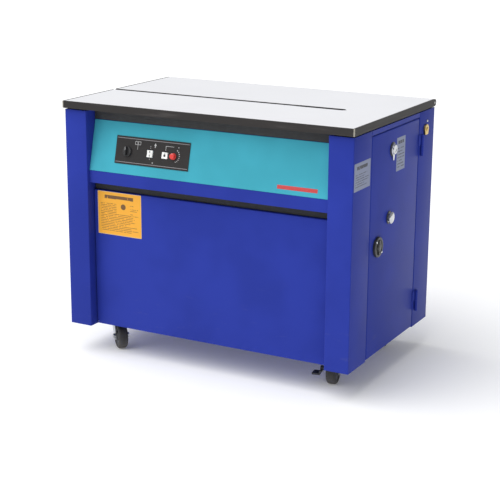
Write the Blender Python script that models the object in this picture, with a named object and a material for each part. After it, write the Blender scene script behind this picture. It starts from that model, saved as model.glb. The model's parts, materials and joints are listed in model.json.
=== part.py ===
"""A table-height semi-automatic strapping machine, built as separate pieces on one root.

Metres, +X to the operator's right, +Y to the rear, +Z up, floor at z = 0. Run it with
blender --background --python part.py, or from Blender's text editor.
"""

from math import atan2, cos, degrees, hypot, pi, radians, sin, tan

import bmesh
import bpy
from mathutils import Matrix, Vector

# Clearances
GAP = 0.0003  # between fixed pieces that touch
RUN = 0.0005  # around a piece that turns or slides
PANEL_GAP = 0.0015  # around doors and panels
OVERLAP = 0.001  # how far a joined shape reaches into its neighbour
CUT = 0.010  # how far a cutter runs past what it cuts

# Table
TABLE_LENGTH = 0.895
TABLE_DEPTH = 0.572
TABLE_HEIGHT = 0.740
BOARD = 0.018
EDGE_HEIGHT = 0.020
EDGE_WALL = 0.005
SIDE_OVERHANG = 0.003
FRONT_OVERHANG = 0.0067
REAR_OVERHANG = 0.0021
UNDER_TABLE = 0.004
SLOT_Y = -0.028
SLOT_WIDTH = 0.016
HEAD_SLOT_WIDTH = 0.020
HEAD_SLOT_INSET = 0.032
HEAD_SLOT_LENGTH = 0.138
SLOT_TAPER = 0.0086
SLOT_TIP = 0.006

# Cabinet
SHEET = 0.002
SKIRT = 0.015
POST_FACE = 0.071
POST_SIDE = 0.114
POST_RETURN = 0.0438
POST_FLANGE = 0.030
DOOR_RECESS = 0.029
FRONT_DOOR_DEPTH = 0.014
DOOR_HINGE_INSET = 0.006
DOOR_PIN = 0.003
RAIL_FACE = 0.0145
SIDE_DOOR_DEPTH = 0.015
REAR_RECESS = 0.006
REAR_PANEL_DEPTH = 0.012
DOOR_LIFT = 0.002
VENT_LENGTH = 0.070
VENT_HEIGHT = 0.006
VENT_PITCH = 0.020
VENT_ROWS = 6
SIDE_VENT_XS = (-0.060, 0.060)
SIDE_VENT_LIFT = 0.093
REAR_VENT_XS = (-0.240, 0.0, 0.240)
REAR_VENT_LIFT = 0.333

# Control box between the front posts, with its levels below the cabinet's top
BOX_DEPTH = 0.0893
FASCIA_TOP_DROP = 0.029
FASCIA_TOP_SET_BACK = 0.045
FASCIA_BOTTOM_DROP = 0.170
FASCIA_BOTTOM_SET_BACK = 0.0107
FASCIA = 0.0015
LIP_DROP = 0.205
LIP_RETURN = 0.0306
FINGER_GAP = 0.024
STRIP_SET_BACK = 0.009
STRIP_DEPTH = 0.012

# Control plate, measured from the left post and up the slope, with its controls from its left end
PLATE_INSET = 0.0815
PLATE_LENGTH = 0.239
PLATE_LOW = 0.029
PLATE_HIGH = 0.107
PLATE = 0.0012
CONTROL_ROW = 0.065
POWER_INSET = 0.0395
ROCKER_INSET = 0.113
BUTTON_INSET = 0.1615
DIAL_INSET = 0.189
POWER_RADIUS = 0.0135
POWER_GRIP = 0.006
POWER_HEIGHT = 0.015
ROCKER_WIDTH = 0.0196
ROCKER_LENGTH = 0.0206
ROCKER_ROOM = 0.0016
ROCKER_PIVOT_DEPTH = 0.004
BUTTON_SIDE = 0.019
BUTTON_HEIGHT = 0.0035
DIAL_RADIUS = 0.009
DIAL_HEIGHT = 0.010
CONTROL_SHAFT = 0.003
CONTROL_DEPTH = 0.012

# Right side fittings, measured from the side door's front edge or the rear post
LATCH_INSET = 0.0518
LATCH_Z = 0.394
LATCH_RADIUS = 0.028
LATCH_HEIGHT = 0.010
LATCH_SPINDLE = 0.005
LATCH_TONGUE = 0.072
LATCH_TONGUE_WIDTH = 0.016
KNOB_INSET = 0.1292
KNOB_Z = 0.459
KNOB_RADIUS = 0.0165
KNOB_REACH = 0.0135
KNOB_NECK = 0.0035
TENSION_INSET = 0.1402
TENSION_DROP = 0.071
TENSION_RADIUS = 0.016
TENSION_REACH = 0.012
POINTER = 0.012
POINTER_LENGTH = 0.018
CLAMP_INSET = 0.0435
CLAMP_DROP = 0.0525
CLAMP_RADIUS = 0.014
CLAMP_LENGTH = 0.0155
CLAMP_THICKNESS = 0.006
SIDE_HINGE_INSET = 0.0136
SIDE_HINGE_STANDOFF = 0.005
SIDE_HINGE_RADIUS = 0.0045
SIDE_HINGE_PIN = 0.0022
SIDE_HINGE_LEAF = 0.0023
SIDE_HINGE_HEIGHT = 0.060
SIDE_HINGE_STRAP = 0.006
SIDE_HINGE_PLATE = 0.009
SIDE_HINGE_LOWER_LIFT = 0.047
SIDE_HINGE_UPPER_DROP = 0.1095

# Base and casters
BASE_RIM = 0.030
BASE_SET_BACK = 0.0053
CASTER_INSET_X = 0.0965
CASTER_INSET_Y = 0.104
CASTER_PAD = 0.066
CASTER_PAD_HEIGHT = 0.0045
WHEEL_RADIUS = 0.0375
WHEEL_WIDTH = 0.028
WHEEL_SHOULDER = 0.005
WHEEL_HEADROOM = 0.013
AXLE_RADIUS = 0.005
TRAIL = 0.025
FORK_PLATE = 0.0025
FORK_CROWN = 0.007
FORK_CROWN_RADIUS = 0.024
KINGPIN = 0.006
PEDAL_LENGTH = 0.036
PEDAL_WIDTH = 0.028
PEDAL_DROP = 0.018
PEDAL_PLATE = 0.005
PEDAL_PIN = 0.003
PEDAL_BOSS = 0.007
PEDAL_PIVOT_AHEAD = 0.012
PEDAL_PIVOT_RISE = 0.0085

# Mechanism under the table: levels below the cabinet's top, depths behind the slot, places across
# from the head's left cheek
BEAM_DROP = 0.211
BED_DROP = 0.167
BED = 0.004
BED_LEFT = -0.190
BED_SET_BACK = 0.016
BEAM_FLANGE = 0.030
CHEEK = 0.005
CHEEK_LEFT = 0.130
HEAD_LENGTH = 0.200
CHEEK_AHEAD = 0.047
CHEEK_BEHIND = 0.058
CHEEK_DROP = 0.016
HEAD_BLOCK_DROP = 0.048
HEAD_BLOCK_DEPTH = 0.048
RAIL_BEHIND = 0.034
RAIL_DEPTH = 0.020
RAIL_DROP = 0.026
RAIL_HEIGHT = 0.012
CAMSHAFT_DROP = 0.101
CAMSHAFT_RADIUS = 0.009
CAM_RADIUS = 0.020
CAM_THROW = 0.006
CAM_WIDTH = 0.012
GRIPPER_INSET = 0.045
GRIPPER_PITCH = 0.057
GRIPPER_WIDTH = 0.018
GRIPPER_DEPTH = 0.020
GRIPPER_LIFT = 0.0045
BLADE = 0.0012
SLIDE_PLATE = 0.0028
SLIDE_INSET = 0.030
SLIDE_LENGTH = 0.154
SLIDE_FOOT = 0.034
HEATER_INSET = 0.020
HEATER_BEHIND = 0.083
HEATER_POST = 0.006
HEATER_PIN = 0.003
HEATER_WIDTH = 0.014
HEATER_SWING = 25.0
ROLLER_OUTSIDE = 0.042
FEED_ROLLER_DROP = 0.116
ROLLER_RADIUS = 0.022
ROLLER_WIDTH = 0.035
ROLLER_PIN = 0.005
ROLLER_STRAP_SPACE = 0.0035
ROLLER_PLATE = 0.004
ROLLER_PLATE_BEHIND = 0.038

# Drive
GEARBOX_ROOM = 0.008
GEARBOX_WIDTH = 0.072
GEARBOX_DEPTH = 0.090
GEARBOX_DROP = 0.046
SOCKET_DEPTH = 0.014
DRIVE_SHAFT = 0.006
GEARBOX_PULLEY_DROP = 0.091
PULLEY_SPAN = 0.176
MOTOR_RADIUS = 0.050
MOTOR_LENGTH = 0.150
MOTOR_PULLEY_ROOM = 0.009
MOTOR_FOOT_WIDTH = 0.084
MOTOR_FOOT_HEIGHT = 0.012
MOTOR_FOOT_INSET = 0.015
MOTOR_SEAT = 0.004
PULLEY_BEHIND = 0.062
PULLEY_WIDTH = 0.018
MOTOR_PULLEY_RADIUS = 0.020
GEARBOX_PULLEY_RADIUS = 0.043
PULLEY_FLANGE = 0.003
PULLEY_RIM = 0.0035
BELT = 0.003

# Strap channel under the slot
CHANNEL_WIDTH = 0.024
CHANNEL_WALL = 0.0015
CHANNEL_ROOM = 0.0035
CHANNEL_HEIGHT = 0.018
CHANNEL_FOOT_X = -0.006
CHANNEL_FOOT = 0.012

# Strap reel in the lower cabinet
REEL_X = -0.120
REEL_RADIUS = 0.185
REEL_LIFT = 0.015
REEL_SET_BACK = 0.0453
REEL_WIDTH = 0.156
REEL_FLANGE = 0.003
DRUM_RADIUS = 0.100
DRUM_WALL = 0.003
COIL_SET_IN = 0.020
REEL_SHAFT = 0.010
REEL_BOSS = 0.018
REEL_BOSS_PROUD = 0.006
STAND_BEHIND = 0.019
STAND_SHEET = 0.004
STAND_LEFT = 0.070
STAND_RIGHT = 0.270
STAND_RISE = 0.073
STAND_SHOULDER = 0.060
STAND_FOOT = 0.050
BRAKE_PIVOT_OUTSIDE = 0.0507
BRAKE_PIVOT_RISE = 0.0033
BRAKE_REACH = 0.0993
BRAKE_RISE = 0.0547
BRAKE_PIN = 0.004
BRAKE_EYE = 0.009
BRAKE_TIP = 0.005
BRAKE_ROD = 0.003
BRAKE_ROD_LENGTH = 0.094
BRAKE_PAD = 0.006
BRAKE_PAD_ANGLE = -8.0
BRAKE_THICKNESS = 0.006

# Electrics
ELECTRICS_INSET = 0.0845
ELECTRICS_SET_IN = 0.0254
ELECTRICS_WIDTH = 0.200
ELECTRICS_DEPTH = 0.120
ELECTRICS_HEIGHT = 0.200
GLAND_X = 0.250
GLAND_LIFT = 0.068
GLAND_RADIUS = 0.012

# Table hinge
HINGE_BRACKET = 0.003
HINGE_BRACKET_DROP = 0.056
HINGE_BRACKET_WIDTH = 0.0195
HINGE_PIN = 0.003
HINGE_ROOM = 0.0035

# Sides of round pieces
FINE = 36
ROUND = 24
SMALL = 12

# Places worked out from the sizes
half_length = TABLE_LENGTH / 2
half_depth = TABLE_DEPTH / 2
side_x = half_length - SIDE_OVERHANG
front_y = -half_depth + FRONT_OVERHANG
rear_y = half_depth - REAR_OVERHANG
edge_bottom = TABLE_HEIGHT - EDGE_HEIGHT
cabinet_top = edge_bottom - UNDER_TABLE
bay_x = side_x - POST_FACE
side_front_y = front_y + POST_SIDE
side_rear_y = rear_y - POST_SIDE
door_y = front_y + DOOR_RECESS
base_underside = 2 * WHEEL_RADIUS + WHEEL_HEADROOM + FORK_CROWN + RUN + CASTER_PAD_HEIGHT
cabinet_bottom = base_underside - SKIRT
base_floor = base_underside + SHEET
door_bottom = cabinet_bottom + DOOR_LIFT
fascia_top = cabinet_top - FASCIA_TOP_DROP
fascia_bottom = cabinet_top - FASCIA_BOTTOM_DROP
lip_bottom = cabinet_top - LIP_DROP
front_door_top = lip_bottom - FINGER_GAP
side_door_top = cabinet_top - RAIL_FACE
panel_front = side_front_y + PANEL_GAP
panel_rear = side_rear_y - PANEL_GAP
table_hinge = (half_depth - EDGE_HEIGHT / 2, TABLE_HEIGHT - EDGE_HEIGHT / 2)
centring = (side_x + KNOB_REACH - half_length) / 2


# Scene, finishes and frames

for old in list(bpy.data.objects):
    bpy.data.objects.remove(old, do_unlink=True)


def finish(name, colour, roughness, metallic=0.0):
    """A Principled material of one colour."""
    made = bpy.data.materials.new(name)
    made.use_nodes = True
    shader = made.node_tree.nodes["Principled BSDF"]
    shader.inputs["Base Color"].default_value = (*colour, 1.0)
    shader.inputs["Roughness"].default_value = roughness
    shader.inputs["Metallic"].default_value = metallic
    return made


BLUE = finish("blue_paint", (0.035, 0.055, 0.36), 0.40)
TEAL = finish("teal_paint", (0.075, 0.40, 0.50), 0.45)
WHITE = finish("white_laminate", (0.86, 0.86, 0.92), 0.35)
CHARCOAL = finish("charcoal_edge", (0.050, 0.046, 0.042), 0.55)
BLACK = finish("black_plastic", (0.018, 0.018, 0.019), 0.50)
IVORY = finish("ivory_plastic", (0.82, 0.82, 0.80), 0.40)
RED = finish("red_plastic", (0.68, 0.045, 0.035), 0.35)
RUBBER = finish("rubber", (0.045, 0.043, 0.042), 0.80)
STEEL = finish("steel", (0.42, 0.43, 0.45), 0.35, 1.0)
CHROME = finish("chrome", (0.78, 0.79, 0.81), 0.10, 1.0)
ZINC = finish("yellow_zinc", (0.62, 0.47, 0.17), 0.35, 1.0)
CAST = finish("cast_grey", (0.20, 0.22, 0.24), 0.60, 0.3)
STRAP = finish("strap", (0.80, 0.62, 0.12), 0.45)


def frame(name, place, turn=(0.0, 0.0, 0.0), parent=None):
    """An empty that carries pieces."""
    empty = bpy.data.objects.new(name, None)
    bpy.context.scene.collection.objects.link(empty)
    empty.parent = parent
    empty.location = place
    empty.rotation_euler = turn
    return empty


machine = frame("machine", (-centring, 0.0, 0.0))


# Solids, each a bmesh with one closed body

def on_axis(axis, across, up, along):
    """A point from its two coordinates across an axis and its place along it."""
    if axis == "X":
        return Vector((along, across, up))
    if axis == "Y":
        return Vector((across, along, up))
    return Vector((across, up, along))


def closed(solid):
    bmesh.ops.recalc_face_normals(solid, faces=solid.faces)
    return solid


def prism(outline, axis, low, high):
    """An outline across an axis, extruded along it."""
    solid = bmesh.new()
    ends = []
    for along in (low, high):
        ends.append([solid.verts.new(on_axis(axis, a, b, along)) for a, b in outline])
    solid.faces.new(ends[0])
    solid.faces.new(ends[1])
    count = len(outline)
    for i in range(count):
        j = (i + 1) % count
        solid.faces.new((ends[0][i], ends[0][j], ends[1][j], ends[1][i]))
    return closed(solid)


def block(low, high):
    """A box between two corners."""
    (x0, y0, z0), (x1, y1, z1) = low, high
    return prism([(x0, y0), (x1, y0), (x1, y1), (x0, y1)], "Z", z0, z1)


def band(outer, inner, axis, low, high):
    """A ring between two outlines that have as many points."""
    solid = bmesh.new()
    loops = []
    for outline, along in ((outer, low), (outer, high), (inner, high), (inner, low)):
        loops.append([solid.verts.new(on_axis(axis, a, b, along)) for a, b in outline])
    count = len(outer)
    for k in range(4):
        here, there = loops[k], loops[(k + 1) % 4]
        for i in range(count):
            j = (i + 1) % count
            solid.faces.new((here[i], here[j], there[j], there[i]))
    return closed(solid)


def arc(centre, radius, start, end, steps):
    """Points on an arc, from one angle to another in degrees, both ends included."""
    points = []
    for k in range(steps + 1):
        angle = radians(start + (end - start) * k / steps)
        points.append((centre[0] + radius * cos(angle), centre[1] + radius * sin(angle)))
    return points


def circle(centre, radius, sides):
    return arc(centre, radius, 0.0, 360.0 - 360.0 / sides, sides - 1)


def rod(centre, radius, axis, low, high, sides=ROUND):
    """A round bar."""
    return prism(circle(centre, radius, sides), axis, low, high)


def turned(profile, centre, axis, sides=ROUND):
    """A profile of (radius, place along the axis), turned once round. Ends at radius 0 close on the axis."""
    solid = bmesh.new()
    rings = []
    for radius, along in profile:
        if radius == 0.0:
            rings.append([solid.verts.new(on_axis(axis, centre[0], centre[1], along))])
        else:
            places = [on_axis(axis, a, b, along) for a, b in circle(centre, radius, sides)]
            rings.append([solid.verts.new(place) for place in places])
    pairs = list(zip(rings, rings[1:]))
    if profile[0][0] > 0.0:
        pairs.append((rings[-1], rings[0]))
    for here, there in pairs:
        for i in range(sides):
            j = (i + 1) % sides
            corners = [here[i % len(here)], here[j % len(here)], there[j % len(there)], there[i % len(there)]]
            solid.faces.new(list(dict.fromkeys(corners)))
    return closed(solid)


def bent(points, thickness):
    """The outline of sheet bent along points, thickened to their left (to their right if negative)."""
    normals = []
    for (a0, b0), (a1, b1) in zip(points, points[1:]):
        length = hypot(a1 - a0, b1 - b0)
        normals.append((-(b1 - b0) / length, (a1 - a0) / length))
    inner = []
    for k, (a, b) in enumerate(points):
        na, nb = normals[max(k - 1, 0)]
        ma, mb = normals[min(k, len(normals) - 1)]
        scale = thickness / (1.0 + na * ma + nb * mb)
        inner.append((a + (na + ma) * scale, b + (nb + mb) * scale))
    return points + inner[::-1]


def tray(low, high, wall, axis, open_high):
    """A box with one open face: its high or low end along the axis."""
    index = "XYZ".index(axis)
    across = [k for k in range(3) if k != index]
    outer = [(low[across[0]], low[across[1]]), (high[across[0]], low[across[1]])]
    outer += [(high[across[0]], high[across[1]]), (low[across[0]], high[across[1]])]
    inner = [(outer[0][0] + wall, outer[0][1] + wall), (outer[1][0] - wall, outer[1][1] + wall)]
    inner += [(outer[2][0] - wall, outer[2][1] - wall), (outer[3][0] + wall, outer[3][1] - wall)]
    shut, mouth = (low[index], high[index]) if open_high else (high[index], low[index])
    floor = shut + wall if open_high else shut - wall
    solid = bmesh.new()
    loops = []
    for outline, along in ((outer, shut), (outer, mouth), (inner, mouth), (inner, floor)):
        loops.append([solid.verts.new(on_axis(axis, a, b, along)) for a, b in outline])
    for here, there in zip(loops, loops[1:]):
        for i in range(4):
            j = (i + 1) % 4
            solid.faces.new((here[i], here[j], there[j], there[i]))
    solid.faces.new(loops[0])
    solid.faces.new(loops[3])
    return closed(solid)


def moved(solid, matrix):
    bmesh.ops.transform(solid, matrix=matrix, verts=solid.verts)
    return solid


def mesh_of(name, solids, pivot):
    """One mesh from several solids, with the pivot as its origin."""
    mesh = bpy.data.meshes.new(name)
    joined = bmesh.new()
    for solid in solids:
        piece_mesh = bpy.data.meshes.new("part_of_" + name)
        solid.to_mesh(piece_mesh)
        solid.free()
        joined.from_mesh(piece_mesh)
        bpy.data.meshes.remove(piece_mesh)
    moved(joined, Matrix.Translation(-Vector(pivot)))
    joined.to_mesh(mesh)
    joined.free()
    mesh.shade_smooth()
    mesh.set_sharp_from_angle(angle=radians(35.0))
    return mesh


pivots = {}


def piece(name, look, body, add=(), cut=(), pivot=(0.0, 0.0, 0.0), on=None):
    """A named piece: a body, then groups of shapes joined to it and cut from it, each group in turn."""
    carrier = on or machine
    made = bpy.data.objects.new(name, mesh_of(name, [body], pivot))
    made.data.materials.append(look)
    bpy.context.scene.collection.objects.link(made)
    made.parent = carrier
    made.location = Vector(pivot) - Vector(pivots.get(carrier.name, (0.0, 0.0, 0.0)))
    pivots[name] = pivot
    steps = [("UNION", group) for group in add]
    steps += [("DIFFERENCE", group) for group in cut]
    for number, (operation, solids) in enumerate(steps):
        shape = f"{name}_shape_{number}"
        helper = bpy.data.objects.new(shape, mesh_of(shape, solids, pivot))
        bpy.context.scene.collection.objects.link(helper)
        helper.parent = made
        helper.hide_render = True
        helper.display_type = "WIRE"
        step = made.modifiers.new(f"{operation.lower()}_{number}", "BOOLEAN")
        step.operation = operation
        step.solver = "EXACT"
        step.object = helper
    return made


# Casters: four swivel forks with trailing wheels, foot brakes on two of them

crown_top = base_underside - CASTER_PAD_HEIGHT - RUN
crown_bottom = crown_top - FORK_CROWN
caster_x = side_x - CASTER_INSET_X
caster_front_y = front_y + CASTER_INSET_Y
caster_rear_y = rear_y - CASTER_INSET_Y
fork_inside = WHEEL_WIDTH / 2 + PANEL_GAP
fork_outside = fork_inside + FORK_PLATE
pedal_pivot = (PEDAL_PIVOT_AHEAD, WHEEL_RADIUS + PEDAL_PIVOT_RISE)

CASTERS = {
    "front_left": (-caster_x, caster_front_y, -132.0, False),
    "front_right": (caster_x, caster_front_y, 10.0, True),
    "rear_left": (-caster_x, caster_rear_y, 0.0, True),
    "rear_right": (caster_x, caster_rear_y, 18.0, False),
}


def fork_side(low, high):
    """One side plate of a fork: wide at the crown, round at the axle."""
    outline = [(-0.018, crown_bottom + OVERLAP), (-0.018, crown_bottom - 0.010)]
    outline += arc((TRAIL, WHEEL_RADIUS), 0.012, 200.0, 340.0, 6)
    outline += [(0.020, crown_bottom - 0.010), (0.020, crown_bottom + OVERLAP)]
    return prism(outline, "X", low, high)


def wheel_profile():
    """A tyre with sloped shoulders and a bored hub."""
    half = WHEEL_WIDTH / 2
    bore = AXLE_RADIUS + RUN
    return [
        (bore, -half),
        (WHEEL_RADIUS * 0.45, -half),
        (WHEEL_RADIUS * 0.50, -half + 0.003),
        (WHEEL_RADIUS * 0.72, -half + 0.003),
        (WHEEL_RADIUS - WHEEL_SHOULDER, -half),
        (WHEEL_RADIUS, -half + WHEEL_SHOULDER),
        (WHEEL_RADIUS, half - WHEEL_SHOULDER),
        (WHEEL_RADIUS - WHEEL_SHOULDER, half),
        (WHEEL_RADIUS * 0.72, half - 0.003),
        (WHEEL_RADIUS * 0.50, half - 0.003),
        (WHEEL_RADIUS * 0.45, half),
        (bore, half),
    ]


for corner, (x, y, heading, braked) in CASTERS.items():
    swivel = frame(f"{corner}_caster", (x, y, 0.0), (0.0, 0.0, radians(heading)), machine)
    axle = (TRAIL, WHEEL_RADIUS)
    bolt = rod(axle, AXLE_RADIUS, "X", -fork_outside - 0.004, fork_outside + 0.004, SMALL)
    sides = [fork_side(-fork_outside, -fork_inside), fork_side(fork_inside, fork_outside)]
    kingpin = rod((0.0, 0.0), KINGPIN, "Z", crown_top - OVERLAP, base_floor - OVERLAP, SMALL)
    pedal_pin = []
    if braked:
        pedal_pin = [rod(pedal_pivot, PEDAL_PIN, "X", -fork_outside - PEDAL_BOSS, -fork_inside - RUN, SMALL)]
    crown = rod((0.0, 0.0), FORK_CROWN_RADIUS, "Z", crown_bottom, crown_top, ROUND)
    piece(f"{corner}_fork", STEEL, crown, add=(sides, [bolt, kingpin] + pedal_pin), on=swivel)
    wheel = turned(wheel_profile(), axle, "X", ROUND)
    piece(f"{corner}_wheel", RUBBER, wheel, pivot=(0.0, *axle), on=swivel)
    if braked:
        boss_right = -fork_outside - RUN
        boss_left = boss_right - 2 * PEDAL_BOSS
        tip_x = boss_right - PEDAL_LENGTH
        tip_z = pedal_pivot[1] - PEDAL_DROP
        lever = [
            (boss_left, pedal_pivot[1] - PEDAL_BOSS * 0.6),
            (boss_left + PEDAL_BOSS, pedal_pivot[1] - PEDAL_BOSS * 0.6),
            (boss_left, tip_z),
            (tip_x, tip_z),
            (tip_x, tip_z + PEDAL_PLATE),
            (boss_left - 0.002, tip_z + PEDAL_PLATE),
        ]
        middle = pedal_pivot[0]
        boss = rod(pedal_pivot, PEDAL_BOSS, "X", boss_left, boss_right, SMALL)
        hole = rod(pedal_pivot, PEDAL_PIN + GAP, "X", boss_left - CUT, boss_right + CUT, SMALL)
        piece(
            f"{corner}_brake_pedal", BLACK,
            prism(lever, "Y", middle - PEDAL_WIDTH / 2, middle + PEDAL_WIDTH / 2),
            add=([boss],), cut=([hole],), pivot=(boss_right, *pedal_pivot), on=swivel,
        )


# Cabinet: base tray, corner posts, panels and doors

base_x = side_x - POST_FLANGE - GAP
base_front = door_y + FRONT_DOOR_DEPTH + BASE_SET_BACK
base_rear = rear_y - REAR_RECESS - REAR_PANEL_DEPTH - RUN
pads = []
king_holes = []
for x, y, heading, braked in CASTERS.values():
    half = CASTER_PAD / 2
    pad_bottom = base_underside - CASTER_PAD_HEIGHT
    pads.append(block((x - half, y - half, pad_bottom), (x + half, y + half, base_floor - RUN)))
    king_holes.append(rod((x, y), KINGPIN + RUN, "Z", pad_bottom - CUT, base_floor + CUT, SMALL))
piece(
    "base_frame", BLUE,
    tray(
        (-base_x, base_front, base_underside), (base_x, base_rear, base_underside + BASE_RIM),
        SHEET, "Z", True,
    ),
    add=(pads,), cut=(king_holes,),
)

front_hinge = (door_y + DOOR_HINGE_INSET, door_bottom + DOOR_HINGE_INSET)
for side, name in ((-1, "front_left_post"), (1, "front_right_post")):
    post = [
        (side * bay_x, front_y + POST_RETURN),
        (side * bay_x, front_y),
        (side * side_x, front_y),
        (side * side_x, side_front_y),
        (side * (side_x - POST_FLANGE), side_front_y),
    ]
    ends = sorted((side * (bay_x + SHEET / 2), side * (bay_x - PANEL_GAP - 2 * SHEET)))
    door_pin = rod(front_hinge, DOOR_PIN, "X", *ends, SMALL)
    piece(name, BLUE, prism(bent(post, side * SHEET), "Z", cabinet_bottom, cabinet_top), add=([door_pin],))

clamp_y = side_rear_y + CLAMP_INSET
clamp_z = cabinet_top - CLAMP_DROP
clamp_hole = rod((clamp_y, clamp_z), DOOR_PIN + RUN, "X", side_x - CUT, side_x + CUT, SMALL)
for side, name in ((-1, "rear_left_post"), (1, "rear_right_post")):
    post = [
        (side * bay_x, rear_y),
        (side * side_x, rear_y),
        (side * side_x, side_rear_y),
        (side * (side_x - POST_FLANGE), side_rear_y),
    ]
    holes = ([clamp_hole],) if side > 0 else ()
    piece(name, BLUE, prism(bent(post, -side * SHEET), "Z", cabinet_bottom, cabinet_top), cut=holes)


def vents(axis, plane, centres, bottom):
    """Rows of ventilation slots through a panel whose face is at a plane across an axis."""
    slots = []
    for centre in centres:
        for row in range(VENT_ROWS):
            z = bottom + row * VENT_PITCH
            left, right = centre - VENT_LENGTH / 2, centre + VENT_LENGTH / 2
            outline = [(left, z), (right, z), (right, z + VENT_HEIGHT), (left, z + VENT_HEIGHT)]
            slots.append(prism(outline, axis, plane - SHEET * 1.5, plane + SHEET * 1.5))
    return slots


piece(
    "left_panel", BLUE,
    tray(
        (-side_x, panel_front, door_bottom), (-side_x + SIDE_DOOR_DEPTH, panel_rear, cabinet_top),
        SHEET, "X", True,
    ),
    cut=(vents("X", -side_x, SIDE_VENT_XS, door_bottom + SIDE_VENT_LIFT),),
)
rear_face = rear_y - REAR_RECESS
panel_x = bay_x - PANEL_GAP
gland = (GLAND_X, base_floor + GLAND_LIFT)
gland_neck = GLAND_RADIUS * 0.5
gland_bore = GLAND_RADIUS * 0.32
piece(
    "rear_panel", BLUE,
    tray(
        (-panel_x, rear_face - REAR_PANEL_DEPTH, door_bottom), (panel_x, rear_face, cabinet_top),
        SHEET, "Y", False,
    ),
    cut=(vents("Y", rear_face, REAR_VENT_XS, door_bottom + REAR_VENT_LIFT),
         [rod(gland, gland_neck + GAP, "Y", rear_face - CUT, rear_face + CUT, SMALL)]),
)
gland_tip = REAR_RECESS - OVERLAP
gland_tail = rear_face - REAR_PANEL_DEPTH - SHEET
piece(
    "mains_gland", BLACK,
    turned(
        [
            (gland_bore, gland_tail),
            (gland_neck, gland_tail),
            (gland_neck, rear_face + GAP),
            (GLAND_RADIUS, rear_face + GAP),
            (GLAND_RADIUS, rear_face + gland_tip * 0.55),
            (GLAND_RADIUS * 0.6, rear_face + gland_tip),
            (gland_bore, rear_face + gland_tip),
        ],
        gland, "Y", SMALL,
    ),
)
rail_bottom = side_door_top + PANEL_GAP
piece(
    "right_top_rail", BLUE,
    prism(
        bent([(side_x, rail_bottom), (side_x, cabinet_top), (side_x - POST_FLANGE, cabinet_top)], SHEET),
        "Y", side_front_y + GAP, side_rear_y - GAP,
    ),
)

door_holes = [
    rod(front_hinge, DOOR_PIN + GAP, "X", side * panel_x - 2 * SHEET, side * panel_x + 2 * SHEET, SMALL)
    for side in (-1, 1)
]
piece(
    "front_door", BLUE,
    tray(
        (-panel_x, door_y, door_bottom), (panel_x, door_y + FRONT_DOOR_DEPTH, front_door_top),
        SHEET, "Y", True,
    ),
    cut=(door_holes,), pivot=(0.0, *front_hinge),
)

# Right side door on two outside hinges at its rear edge
side_hinge_y = side_rear_y + SIDE_HINGE_INSET
side_hinge = (side_x + SIDE_HINGE_STANDOFF, side_hinge_y)
side_hinge_bottoms = {
    "side_hinge_lower": door_bottom + SIDE_HINGE_LOWER_LIFT,
    "side_hinge_upper": side_door_top - SIDE_HINGE_UPPER_DROP,
}
latch = (panel_front + LATCH_INSET, LATCH_Z)
knob = (panel_front + KNOB_INSET, KNOB_Z)
tension = (panel_front + TENSION_INSET, cabinet_top - TENSION_DROP)
leaf_out = side_x + SIDE_HINGE_LEAF
half_hinge = SIDE_HINGE_HEIGHT / 2
straps = []
knuckles = []
for bottom in side_hinge_bottoms.values():
    low, high = bottom + half_hinge + RUN, bottom + SIDE_HINGE_HEIGHT
    outline = [
        (side_x - OVERLAP, panel_rear - SIDE_HINGE_STRAP),
        (leaf_out, panel_rear - SIDE_HINGE_STRAP),
        (leaf_out, side_hinge_y),
        (side_x + GAP, side_hinge_y),
        (side_x + GAP, panel_rear - SHEET),
        (side_x - OVERLAP, panel_rear - SHEET),
    ]
    straps.append(prism(outline, "Z", low, high))
    knuckles.append(rod(side_hinge, SIDE_HINGE_RADIUS, "Z", low, high, SMALL))
holes = [rod(side_hinge, SIDE_HINGE_PIN + GAP, "Z", door_bottom, side_door_top, SMALL)]
for centre, radius in ((latch, LATCH_SPINDLE), (tension, CONTROL_SHAFT)):
    holes.append(rod(centre, radius + RUN, "X", side_x - 3 * SHEET, side_x + 3 * SHEET, SMALL))
side_door = piece(
    "side_door", BLUE,
    tray(
        (side_x - SIDE_DOOR_DEPTH, panel_front, door_bottom), (side_x, panel_rear, side_door_top),
        SHEET, "X", False,
    ),
    add=(straps, knuckles), cut=(holes,), pivot=(*side_hinge, 0.0),
)
for name, bottom in side_hinge_bottoms.items():
    top = bottom + SIDE_HINGE_HEIGHT
    middle = bottom + half_hinge
    clear = side_hinge_y + SIDE_HINGE_RADIUS + RUN
    leaf = block((side_x + GAP, clear, bottom), (leaf_out, clear + SIDE_HINGE_PLATE, top))
    bridge = block(
        (side_x + GAP, side_hinge_y, bottom + RUN), (leaf_out - GAP, clear + OVERLAP, middle - RUN)
    )
    knuckle = rod(side_hinge, SIDE_HINGE_RADIUS, "Z", bottom, middle, SMALL)
    pin = rod(side_hinge, SIDE_HINGE_PIN, "Z", middle - OVERLAP, top, SMALL)
    piece(name, BLUE, leaf, add=([bridge], [knuckle], [pin]))

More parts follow.
